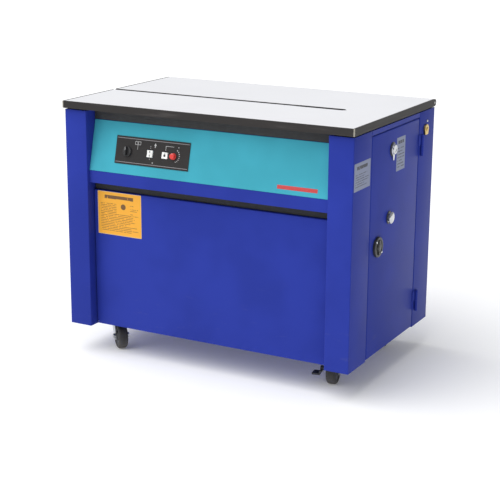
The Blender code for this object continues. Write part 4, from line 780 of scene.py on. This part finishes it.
def label(name, base, ink, origin, across, up, width, height, rows, margin, head, sign=None):
    """A stuck-on label: a border, a header bar and ruled rows of short dashes instead of words."""
    place, feed = new_finish(name)
    x, y, z = place.parts()
    u = (x * across.x + y * across.y) - (origin.x * across.x + origin.y * across.y)
    v = z - origin.z
    inside = u.within(margin, width - margin)
    pitch = (height - head - 2.0 * margin) / rows
    row = (height - head - margin - v) / pitch
    step = row.maths("FLOOR")
    part = row - step
    spread = place.node("CombineXYZ", {0: u * 260.0, 1: step * 7.3, 2: 0.5})
    broken = place.node("TexNoise", {"Vector": spread, "Scale": 1.0, "Detail": 1.0})
    ending = place.node("TexWhiteNoise", {"W": step}, noise_dimensions="1D")
    text = part.within(0.30, 0.68) * (broken > 0.40) * inside * v.within(margin, height - head - margin)
    text = text * (u < (ending * 0.35 + 0.62) * width)
    header = v.within(height - head + 0.002, height - head * 0.45) * u.within(width * 0.16, width * 0.82)
    header = header * (broken > 0.34)
    marks = (text * 0.75).maths("MAXIMUM", header)
    if sign:
        su, sv, sr = sign
        box_u, box_v = (u - su).maths("ABSOLUTE"), (v - sv).maths("ABSOLUTE")
        plain = (box_u < sr * 2.1) * (box_v < sr * 1.9)
        marks = marks * (1.0 - plain)
        body = (box_u * box_u + box_v * box_v) < sr * sr * 0.55
        marks = marks.maths("MAXIMUM", body)
    age = place.noise(0.03, 4.0)
    grain = place.noise(0.0015, 2.0)
    paler = tuple(min(1.0, c * 1.10 + 0.01) for c in base)
    return feed(
        Base_Color=marks.mix(age.mix(base, paler), ink),
        Roughness=0.42 + age * 0.15,
        Normal=(grain * 0.5 + place.noise(0.02, 2.0)).bump(0.00006),
    )


def sticker(name, finish, body, slot, low, high, way, thickness=0.0003):
    """A thin plate with softened corners, stuck on a face that looks along way."""
    size = high - low
    middle = (low + high) / 2.0 + way * thickness / 2.0
    depth = Vector((abs(way.x), abs(way.y), abs(way.z))) * thickness
    piece = block(middle, size + depth)
    choose(piece, "EDGE", lambda centre, direction: abs(direction.dot(way)) > 0.9)
    bpy.ops.mesh.bevel(offset=0.0015, segments=3, affect="EDGES")
    choose(piece, "FACE", lambda centre, normal: normal.dot(way) > 0.9)
    bpy.ops.mesh.inset(thickness=0.0004)
    bpy.ops.object.mode_set(mode="OBJECT")
    return finished(piece, name, finish, body, slot)


STICKER_WIDTH = 0.146
STICKER_HEIGHT = 0.125
STICKER_INSET = 0.01255
sticker_low = Vector((low.x + STICKER_INSET, low.y - 0.00002, high.z - STICKER_HEIGHT - 0.001))
sticker_high = sticker_low + Vector((STICKER_WIDTH, 0.0, STICKER_HEIGHT))
amber = label(
    "amber_sticker", (0.80, 0.37, 0.020), (0.16, 0.075, 0.02), sticker_low, RIGHT, UP,
    STICKER_WIDTH, STICKER_HEIGHT, 17, 0.010, 0.022, sign=(0.086, 0.085, 0.011),
)
sticker("safety_sticker", amber, "front_door", "yellow_zinc", sticker_low, sticker_high, -REAR)
border = []
BORDER = 0.0012
for x, z, wide, tall in (
    (0.0, -1.0, STICKER_WIDTH, BORDER), (0.0, 1.0, STICKER_WIDTH, BORDER),
    (-1.0, 0.0, BORDER, STICKER_HEIGHT), (1.0, 0.0, BORDER, STICKER_HEIGHT),
):
    middle = (sticker_low + sticker_high) / 2.0
    out = Vector((x * (STICKER_WIDTH - BORDER) / 2.0, 0.0, z * (STICKER_HEIGHT - BORDER) / 2.0))
    out.y = sticker_low.y - 0.00035 - middle.y
    border.append(block(middle + out, (wide, 0.0001, tall)))
PALE_BORDER = printing_ink("pale_border", (0.86, 0.62, 0.30))
finished(join(border), "sticker_border", PALE_BORDER, "front_door", "yellow_zinc")


# Side door. A tall folded tray on two lift-off hinges at the rear. A tension knob, a chrome pull knob
# and a round black latch are bolted through it, and two plain silver plates are stuck beside them.

low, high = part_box("side_door")
hinge = Vector(joints["side_door_hinge"]["pos_m"])
post_low, post_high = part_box("rear_right_post")
front_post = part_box("front_right_post")
post_front = front_post[0].y
door_front = front_post[1].y + 0.0015
door_rear = post_low.y - 0.0015
side_x = post_high.x
panel = tray(Vector((low.x, door_front, low.z)), Vector((side_x, door_rear, high.z)), -RIGHT, 0.0045)
straps = [panel]
STRAP = 0.006
for node in ("side_hinge_lower", "side_hinge_upper"):
    bottom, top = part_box(node)[0].z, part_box(node)[1].z
    middle = (bottom + top) / 2.0
    tall = top - middle - 0.0002
    knuckle = [(0.0, 0.0), (0.0045, 0.0), (0.0045, tall - 0.0008), (0.0030, tall), (0.0, tall)]
    straps.append(turned(knuckle, Vector((hinge.x, hinge.y, middle + 0.0005)), UP, 32))
    leaf = block(
        (side_x + 0.00125, (door_rear - STRAP + hinge.y) / 2.0, (middle + top) / 2.0 + 0.0003),
        (0.0021, hinge.y - door_rear + STRAP, top - middle - 0.0008),
    )
    apply(leaf, "BEVEL", width=0.0006, segments=2)
    straps.append(leaf)
finished(join(straps), "door_side", BLUE, "side_door", "blue_paint", "side_door")
for node in ("side_hinge_lower", "side_hinge_upper"):
    dress(node, BLUE, 0.0005)

CHROME = plated("chrome_plate", (0.66, 0.67, 0.69), (0.50, 0.51, 0.53), 0.13, patch=0.03)
knob_low, knob_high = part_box("side_door_knob")
knob = Vector((side_x, (knob_low.y + knob_high.y) / 2.0, (knob_low.z + knob_high.z) / 2.0))
KNOB_RADIUS = 0.0165
reach = knob_high.x - side_x
half_dome = (reach - 0.0035) / 2.0
ball = [(0.0, 0.0004), (0.0132, 0.0004), (0.0132, 0.0012), (0.0122, 0.0020), (0.0076, 0.0030)]
for k in range(12):
    angle = radians(28.0 + 152.0 * k / 11.0)
    ball.append((KNOB_RADIUS * sin(angle), reach - half_dome * (1.0 + cos(angle))))
ball[-1] = (0.0, reach)
finished(turned(ball, knob, RIGHT, 72), "pull_knob", CHROME, "side_door", "chrome", "side_door_knob")


def flat_ring(inner, outer, height, rim):
    """The profile of a flat ring that lies just off the door, its outer edge chamfered by rim."""
    foot = 0.0003
    ring = [(inner, foot), (outer, foot), (outer, height - rim[1]), (outer - rim[0], height)]
    return ring + [(inner, height), (inner, foot)]


ring = turned(flat_ring(0.0134, 0.0178, 0.0015, (0.0006, 0.0005)), knob, RIGHT)
finished(ring, "pull_knob_ring", KNOB_BLACK, "side_door", "black_plastic")

dial = Vector(joints["tension_knob_turn"]["pos_m"])
TENSION_RADIUS = 0.0160
TENSION_REACH = 0.0090
GRIP_RADIUS = 0.0130
boss = [(0.0, 0.0025), (TENSION_RADIUS, 0.0025), (TENSION_RADIUS, 0.0046), (GRIP_RADIUS + 0.0008, 0.0056)]
boss += round_over(GRIP_RADIUS, TENSION_REACH, 0.0014)
boss += [(0.0080, TENSION_REACH), (0.0070, TENSION_REACH - 0.0012), (0.0, TENSION_REACH - 0.0012)]
knurled = [turned(boss, dial, RIGHT)]
for k in range(36):
    angle = radians(10.0 * k)
    rib = start(bpy.ops.mesh.primitive_cylinder_add, vertices=6, radius=0.00050, depth=0.0022)
    rib.rotation_euler = (0.0, pi / 2.0, 0.0)
    rib.location = (dial.x + 0.0068, dial.y + GRIP_RADIUS * cos(angle), dial.z + GRIP_RADIUS * sin(angle))
    settle(rib)
    knurled.append(rib)
finished(join(knurled), "tension_grip", CHROME, "tension_knob", "chrome", "tension_knob")
tail = block(dial + Vector((0.0035, 0.0, -0.0215)), (0.0024, 0.0130, 0.0170))
choose(tail, "FACE", lambda middle, way: way.z < -0.9)
bpy.ops.transform.resize(value=(1.0, 0.35, 1.0))
bpy.ops.object.mode_set(mode="OBJECT")
apply(tail, "BEVEL", width=0.0008, segments=3)
finished(tail, "tension_pointer", CHROME, "tension_knob", "chrome")
collar = turned(flat_ring(0.0060, 0.0195, 0.0022, (0.0010, 0.0008)), dial, RIGHT)
finished(collar, "tension_collar", KNOB_BLACK, "side_door", "black_plastic")

latch = Vector(joints["side_door_latch_turn"]["pos_m"])
LATCH_RADIUS = 0.028
dish = [(0.0, 0.0004), (LATCH_RADIUS, 0.0004), (LATCH_RADIUS, 0.0040)]
dish += round_over(LATCH_RADIUS, 0.0075, 0.0022)
dish += [(0.0215, 0.0075), (0.0200, 0.0060), (0.0120, 0.0056)]
dish += [(0.0105, 0.0095), (0.0095, 0.0100), (0.0, 0.0100)]
latch_parts = [turned(dish, latch, RIGHT, 72)]
wing = block(latch + Vector((0.0070, 0.0, 0.0)), (0.0056, 0.0090, 0.0400))
apply(wing, "BEVEL", width=0.0018, segments=3)
latch_parts.append(wing)
finished(join(latch_parts), "latch_dish", KNOB_BLACK, "side_door_latch", "black_plastic", "side_door_latch")
screws = []
for side in (-1, 1):
    place = latch + Vector((0.0074, side * 0.0165, -side * 0.0165))
    head = [(0.0, 0.0), (0.0036, 0.0), (0.0034, 0.0010), (0.0022, 0.0019), (0.0, 0.0022)]
    screws.append(turned(head, place, RIGHT, 24))
finished(join(screws), "latch_screws", CHROME, "side_door_latch", "chrome")
tongue = block((side_x - 0.0335, latch.y, latch.z + 0.032), (0.0020, 0.0160, 0.0800))
apply(tongue, "BEVEL", width=0.0006, segments=2)
spindle = turned([(0.0, 0.0), (0.0050, 0.0), (0.0050, -0.0350), (0.0, -0.0350)], latch, RIGHT, 32)
finished(join([tongue, spindle]), "latch_tongue", ZINC, "side_door_latch", "steel")

SILVER = (0.19, 0.22, 0.33)
SILVER_PRINT = (0.025, 0.028, 0.045)
TENSION_PLATE = (0.060, 0.092)
RATING_PLATE = (0.101, 0.073)
for name, size, y, z, body, rows, margin in (
    ("tension_plate", TENSION_PLATE, dial.y + 0.0291, dial.z - 0.0670, "side_door", 7, 0.006),
    ("rating_plate", RATING_PLATE, post_front + 0.0053, dial.z - 0.0710, "cabinet", 6, 0.008),
):
    plate_low = Vector((side_x, y, z))
    plate_high = plate_low + Vector((0.0, *size))
    silver = label(name + "_print", SILVER, SILVER_PRINT, plate_low, REAR, UP, *size, rows, margin, 0.020)
    sticker(name, silver, body, "steel", plate_low, plate_high, RIGHT)


# Table latch: a yellow-passivated hook plate on the rear post, held by a shouldered screw, that keeps
# the table shut.

turn = Vector(joints["table_latch_turn"]["pos_m"])
low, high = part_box("table_latch")
dress("table_latch", YELLOW_ZINC, 0.0008, 3)
head = [(0.0, 0.0), (0.0055, 0.0), (0.0055, 0.0012), (0.0040, 0.0026), (0.0, 0.0030)]
head = turned(head, Vector((high.x - 0.0002, turn.y, turn.z)), RIGHT, 32)
finished(head, "table_latch_screw", YELLOW_ZINC, "table_latch", "yellow_zinc")
stud = [(0.0, -0.0010), (0.0036, -0.0010), (0.0036, 0.0016), (0.0026, 0.0028), (0.0, 0.0030)]
stud = turned(stud, Vector((side_x, turn.y + 0.0120, turn.z + 0.0215)), RIGHT, 32)
finished(stud, "table_latch_stop", ZINC, "cabinet", "steel")


# Table. A board faced with white laminate; the strap slot is routed from the left edge to the sealing
# head. A dark extruded strip edges it, mitred at the front corners, and the rear rail turns on two pins.

SLOT_Y = -0.028
HEAD_SLOT = (0.1568, 0.2948)


def laminate():
    place, feed = new_finish("white_laminate", Coat_Weight=0.15, Coat_Roughness=0.2)
    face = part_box("table_top")[1].z
    x, y, z = place.parts()
    cloud = place.noise(0.25, 2.0)
    fleck = place.noise(0.0012, 2.0)
    slot_edge = (y - SLOT_Y).maths("ABSOLUTE")
    slot_side = 1.0 - slot_edge.soft(0.012, 0.075)
    scuffs = place.noise(0.02, 5.0, 0.75, stretch=(0.18, 1.6, 1.0)).soft(0.60, 0.72)
    rubbed = scuffs * (slot_side * 0.5 + 0.12)
    faced = cloud.mix((0.88, 0.88, 0.91), (0.93, 0.93, 0.96))
    worn = (rubbed * 0.55 + (fleck - 0.5) * 0.08).mix(faced, (0.50, 0.50, 0.53))
    # Painted shade: the routed walls of the strap slot, and a thin rim round it on the face, are painted near
    # black.
    routed = (slot_edge < 0.0106) * (z < face - 0.0007)
    narrow, wide = (slot_edge < 0.0092) * (x < HEAD_SLOT[0]), (slot_edge < 0.0111) * x.within(*HEAD_SLOT)
    rim = narrow + wide
    return feed(
        Base_Color=routed.maths("MAXIMUM", rim).mix(worn, (0.022, 0.020, 0.020)),
        Roughness=0.30 + rubbed * 0.35 + cloud * 0.06,
        Normal=(fleck * 0.5 + rubbed * 0.5).bump(0.00003),
    )


SEAM = 0.0030


def edge_strip_plastic():
    place, feed = new_finish("edge_strip", Specular_IOR_Level=0.16)
    streak = place.noise(0.05, 4.0, 0.65, stretch=(0.30, 0.30, 5.0))
    grain = place.noise(0.0010, 2.0)
    dark = streak.soft(0.52, 0.78).mix((0.034, 0.031, 0.030), (0.072, 0.066, 0.064))
    low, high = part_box("table_edge")
    x, y, z = place.parts()
    front = y < low.y + SEAM
    seam_left = (x < low.x + SEAM) * front
    seam_right = (x > high.x - SEAM) * front
    return feed(
        Base_Color=(seam_left + seam_right).mix(dark, (0.34, 0.32, 0.27)),
        Roughness=0.40 + streak * 0.18,
        Normal=(grain * 0.6 + streak * 0.4).bump(0.00005),
    )


dress("table_top", laminate(), 0.0005)
EDGE = edge_strip_plastic()
dress("table_edge", EDGE, 0.0012, 3)
low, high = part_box("table_edge")
seams = []
PALE = printing_ink("mitre_filler", (0.50, 0.48, 0.42))
for side, x in ((-1, low.x), (1, high.x)):
    seam = turned(
        [(0.0, 0.0), (0.0011, 0.0), (0.0011, high.z - low.z - 0.0030), (0.0, high.z - low.z - 0.0030)],
        Vector((x - side * 0.0012, low.y + 0.0012, low.z + 0.0015)), UP, 24,
    )
    seams.append(seam)
finished(join(seams), "edge_mitres", PALE, "table", "charcoal_edge")
hinge = Vector(joints["table_hinge"]["pos_m"])
pivots = []
for side, x in ((-1, low.x), (1, high.x)):
    head = [(0.0, -0.0040), (0.0040, -0.0040), (0.0040, -0.0004), (0.0034, -0.0001), (0.0, -0.0001)]
    pivots.append(turned(head, Vector((x, hinge.y, hinge.z)), RIGHT * side, 32))
finished(join(pivots), "table_pivot_caps", IVORY, "table", "ivory_plastic")
for node in ("hinge_bracket_left", "hinge_bracket_right"):
    dress(node, ZINC, 0.0005)


# Mechanism frame and sealing head. Ground and zinc-plated steel: two cross beams carry the bed, two
# cheeks hold the head block, and the cams lift the grippers through it.

DRAWN = (0.06, 1.0, 1.0)
GROUND = plated("ground_steel", (0.52, 0.53, 0.55), (0.34, 0.35, 0.37), 0.26, grain=DRAWN, patch=0.02)
dress("mechanism_frame", ZINC, 0.0004)
for node in ("left_gripper", "press_head", "right_gripper", "slide_table", "heater_arm"):
    dress(node, GROUND, 0.0004)
# The strap channel gets a near-black steel finish that also stands for painted shade down in the slot.
dress("strap_channel", plated("blackened_steel_painted_shade", (0.050, 0.050, 0.053), (0.028, 0.028, 0.030), 0.46))
low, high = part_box("camshaft")
spin = Vector(joints["camshaft_turn"]["pos_m"])
long = high.x - low.x
shaft = [(0.0, 0.0), (0.0080, 0.0), (0.0090, 0.0010), (0.0090, long - 0.0010), (0.0080, long), (0.0, long)]
cam_parts = [turned(shaft, Vector((low.x, spin.y, spin.z)), RIGHT)]
for node in ("left_gripper", "press_head", "right_gripper"):
    gripper_low, gripper_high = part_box(node)
    middle = Vector(((gripper_low.x + gripper_high.x) / 2.0 - 0.006, spin.y, spin.z - 0.006))
    lobe = [(0.0, 0.0), (0.0194, 0.0)] + [(0.0200, 0.0006), (0.0200, 0.0114), (0.0194, 0.0120), (0.0, 0.0120)]
    cam_parts.append(turned(lobe, middle, RIGHT, 72))
finished(join(cam_parts), "cam_shaft", GROUND, "camshaft", "steel", "camshaft")
FEED_RUBBER = moulded("feed_rubber", (0.045, 0.043, 0.042), 0.70, 0.0009, 0.00008)
for name in ("feed_roller", "pinch_roller"):
    low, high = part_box(name)
    axis_place = Vector(joints[name + "_turn"]["pos_m"])
    rim = (high.z - low.z) / 2.0
    length = high.y - low.y
    body = [(0.0056, 0.0), (0.0165, 0.0), (0.0172, 0.0012), (rim - 0.0008, 0.0012), (rim, 0.0020)]
    body += [(r, length - d) for r, d in body[::-1]] + [body[0]]
    place = Vector((axis_place.x, low.y, axis_place.z))
    finished(turned(body, place, REAR, 72), name + "_wheel", FEED_RUBBER, name, "rubber", name)


# Drive. A painted cast motor and gearbox on the bed, two pulleys and a flat belt that joins them.

def casting():
    place, feed = new_finish("cast_grey")
    sand = place.noise(0.0016, 3.0)
    cloud = place.noise(0.03, 3.0)
    return feed(
        Base_Color=cloud.mix((0.16, 0.18, 0.20), (0.22, 0.24, 0.26)),
        Roughness=0.52 + cloud * 0.15,
        Normal=sand.bump(0.00018),
    )


CAST = casting()
dress("gearbox", CAST, 0.0015, 3)
dress("motor", CAST, 0.0010)
low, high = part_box("motor")
shaft = Vector(joints["motor_pulley_turn"]["pos_m"])
MOTOR_RADIUS = 0.050
FIN_START = 0.022
FIN_PITCH = 0.012
fins = []
for k in range(9):
    y = low.y + FIN_START + FIN_PITCH * k
    fin = [(-0.001, 0.0), (0.0035, 0.0004), (0.0040, 0.0010), (0.0035, 0.0016), (-0.001, 0.0020)]
    fin = [(MOTOR_RADIUS + proud, along) for proud, along in fin + fin[:1]]
    fins.append(turned(fin, Vector((shaft.x, y, shaft.z)), REAR, 72))
finished(join(fins), "motor_fins", CAST, "cabinet", "cast_grey")
for name in ("motor_pulley", "gearbox_pulley"):
    low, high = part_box(name)
    axis_place = Vector(joints[name + "_turn"]["pos_m"])
    rim = (high.z - low.z) / 2.0
    wide = high.y - low.y
    half = [(0.0066, 0.0), (0.0120, 0.0), (0.0130, 0.0020), (rim - 0.0075, 0.0028), (rim - 0.0060, 0.0)]
    half += [(rim - 0.0006, 0.0), (rim, 0.0008), (rim, 0.0026), (rim - 0.0034, 0.0030)]
    body = half + [(r, wide - d) for r, d in half[::-1]] + [half[0]]
    rim_piece = turned(body, Vector((axis_place.x, low.y, axis_place.z)), REAR, 72)
    finished(rim_piece, name + "_rim", GROUND, name, "steel", name)
BELT = moulded("belt_rubber", (0.030, 0.029, 0.028), 0.62, 0.0007, 0.00010)
dress("drive_belt", BELT, 0.0003)


# Strap reel. A painted drum with two flanges on the stand's shaft, the coil of strap wound on it, and
# a brake arm whose weight presses its pad on the rim.

dress("reel_stand", BLUE, 0.0006)
hub_low, hub_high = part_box("reel_hub")
reel = Vector(joints["reel_turn"]["pos_m"])
flange_low, flange_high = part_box("reel_front_flange")
coil_low, coil_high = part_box("strap_coil")
REEL_RADIUS = (hub_high.z - hub_low.z) / 2.0
back = hub_high.y - 0.006
DRUM_WALL = (0.0970, 0.1000)
hub = [
    (0.0108, hub_low.y), (0.0172, hub_low.y), (0.0180, hub_low.y + 0.0010), (0.0180, back - 0.003),
    (DRUM_WALL[0], back - 0.003), (DRUM_WALL[0], flange_high.y + 0.0006),
    (DRUM_WALL[1], flange_high.y + 0.0006), (DRUM_WALL[1], back - 0.003),
    (REEL_RADIUS - 0.0012, back - 0.003), (REEL_RADIUS, back - 0.0018), (REEL_RADIUS, back - 0.0012),
    (REEL_RADIUS - 0.0012, back), (0.0180, back), (0.0180, hub_high.y), (0.0108, hub_high.y),
    (0.0108, hub_low.y),
]
axis_zero = Vector((reel.x, 0.0, reel.z))
finished(turned(hub, axis_zero, REAR, 96), "reel_drum", BLUE, "reel", "blue_paint", "reel_hub")
front = [
    (0.0184, flange_low.y), (REEL_RADIUS - 0.0012, flange_low.y), (REEL_RADIUS, flange_low.y + 0.0010),
    (REEL_RADIUS, flange_high.y - 0.0008), (REEL_RADIUS - 0.0010, flange_high.y), (0.0184, flange_high.y),
    (0.0184, flange_low.y),
]
finished(turned(front, axis_zero, REAR, 96), "reel_flange", BLUE, "reel", "blue_paint", "reel_front_flange")


def wound_strap():
    place, feed = new_finish("wound_strap")
    x, y, z = place.parts()
    across, up = x - reel.x, z - reel.z
    spread = across * across + up * up
    layer = spread.maths("POWER", 0.5) / 0.0007
    groove = layer.maths("PINGPONG", 0.5)
    lay = y / 0.0121
    turns = lay.maths("PINGPONG", 0.5)
    weave = place.noise(0.0012, 2.0)
    # Painted shade: the strap is darker in the creases between its layers and between its laps.
    wound = groove.soft(0.02, 0.20) * turns.soft(0.01, 0.06)
    return feed(
        Base_Color=wound.mix((0.34, 0.24, 0.05), (0.84, 0.66, 0.15)),
        Roughness=0.36 + weave * 0.15,
        Normal=(groove * 1.2 + turns * 2.0 + weave * 0.2).bump(0.0002),
    )


coil_radius = (coil_high.z - coil_low.z) / 2.0
coil_core = DRUM_WALL[1] + 0.0004
coil = [(coil_core, coil_low.y), (coil_radius - 0.0010, coil_low.y), (coil_radius, coil_low.y + 0.0010)]
LAPS = 12
pitch = (coil_high.y - coil_low.y - 0.002) / LAPS
for k in range(LAPS):
    y = coil_low.y + 0.001 + k * pitch
    coil += [(coil_radius, y + pitch * 0.10), (coil_radius, y + pitch * 0.92)]
    coil.append((coil_radius - 0.0007, y + pitch * 0.98))
coil += [(coil_radius - 0.0010, coil_high.y), (coil_core, coil_high.y), (coil_core, coil_low.y)]
finished(turned(coil, axis_zero, REAR, 96), "strap_winding", wound_strap(), "reel", "strap", "strap_coil")
dress("reel_brake_arm", ZINC, 0.0006)


# Electrics box and mains gland. A grey sheet box on the base whose open side the rear panel shuts, and
# a black gland in the rear panel.

dress("electrics_box", CAST, 0.0006)
low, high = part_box("mains_gland")
middle = Vector(((low.x + high.x) / 2.0, 0.0, (low.z + high.z) / 2.0))
rear_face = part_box("rear_panel")[1].y
tip = high.y
body = [
    (0.0040, low.y), (0.0058, low.y), (0.0058, rear_face + 0.0004), (0.0098, rear_face + 0.0004),
    (0.0098, rear_face + 0.0012),
    (0.0080, tip - 0.0024), (0.0072, tip - 0.0004), (0.0062, tip), (0.0040, tip), (0.0040, low.y),
]
gland = [turned(body, middle, REAR, 48)]
gland.append(nut(Vector((middle.x, rear_face + 0.0016, middle.z)), REAR, 0.0205, 0.0022, 0.0090))
finished(join(gland), "cord_gland", KNOB_BLACK, "cabinet", "black_plastic", "mains_gland")


# Studio: a pale floor that runs out into a white surround, one very broad soft light from ahead, above
# and the left, and the camera a little above the table.

floor = start(bpy.ops.mesh.primitive_plane_add, size=40.0)
floor.name = "floor"
floor_material = bpy.data.materials.new("floor_pale")
floor_material.use_nodes = True
floor_shader = floor_material.node_tree.nodes["Principled BSDF"]
floor_shader.inputs["Base Color"].default_value = (0.94, 0.94, 0.94, 1.0)
floor_shader.inputs["Roughness"].default_value = 0.9
floor_shader.inputs["Emission Color"].default_value = (1.0, 1.0, 1.0, 1.0)
floor_shader.inputs["Emission Strength"].default_value = 0.10
floor.data.materials.append(floor_material)

world = bpy.data.worlds.new("studio")
world.use_nodes = True
sky = world.node_tree
surround = sky.nodes["Background"]
surround.inputs["Color"].default_value = (0.97, 0.985, 1.0, 1.0)
surround.inputs["Strength"].default_value = 0.42
white = sky.nodes.new("ShaderNodeBackground")
white.inputs["Color"].default_value = (1.0, 1.0, 1.0, 1.0)
seen = sky.nodes.new("ShaderNodeLightPath")
either = sky.nodes.new("ShaderNodeMixShader")
sky.links.new(seen.outputs["Is Camera Ray"], either.inputs[0])
sky.links.new(surround.outputs[0], either.inputs[1])
sky.links.new(white.outputs[0], either.inputs[2])
sky.links.new(either.outputs[0], sky.nodes["World Output"].inputs["Surface"])
bpy.context.scene.world = world
bpy.context.scene.view_settings.view_transform = "Standard"

KEY_FROM = Vector((-0.40, -0.40, 0.82))
key = bpy.data.lights.new("key", "SUN")
key.energy = 2.9
key.angle = radians(75.0)
key_light = bpy.data.objects.new("key", key)
bpy.context.scene.collection.objects.link(key_light)
key_light.rotation_euler = KEY_FROM.to_track_quat("Z", "Y").to_euler()

CAMERA_PLACE = Vector((1.7578, -3.2746, 1.3204))
CAMERA_AIM = Vector((0.1694, -0.3260, 0.400))
CAMERA_ROLL = radians(0.37)
lens = bpy.data.cameras.new("camera")
lens.lens = 95.1
lens.sensor_width = 36.0
lens.clip_end = 60.0
camera = bpy.data.objects.new("camera", lens)
bpy.context.scene.collection.objects.link(camera)
camera.location = CAMERA_PLACE
facing = (CAMERA_AIM - CAMERA_PLACE).to_track_quat("-Z", "Y")
camera.rotation_mode = "QUATERNION"
camera.rotation_quaternion = facing @ Quaternion((0.0, 0.0, 1.0), CAMERA_ROLL)
bpy.context.scene.camera = camera
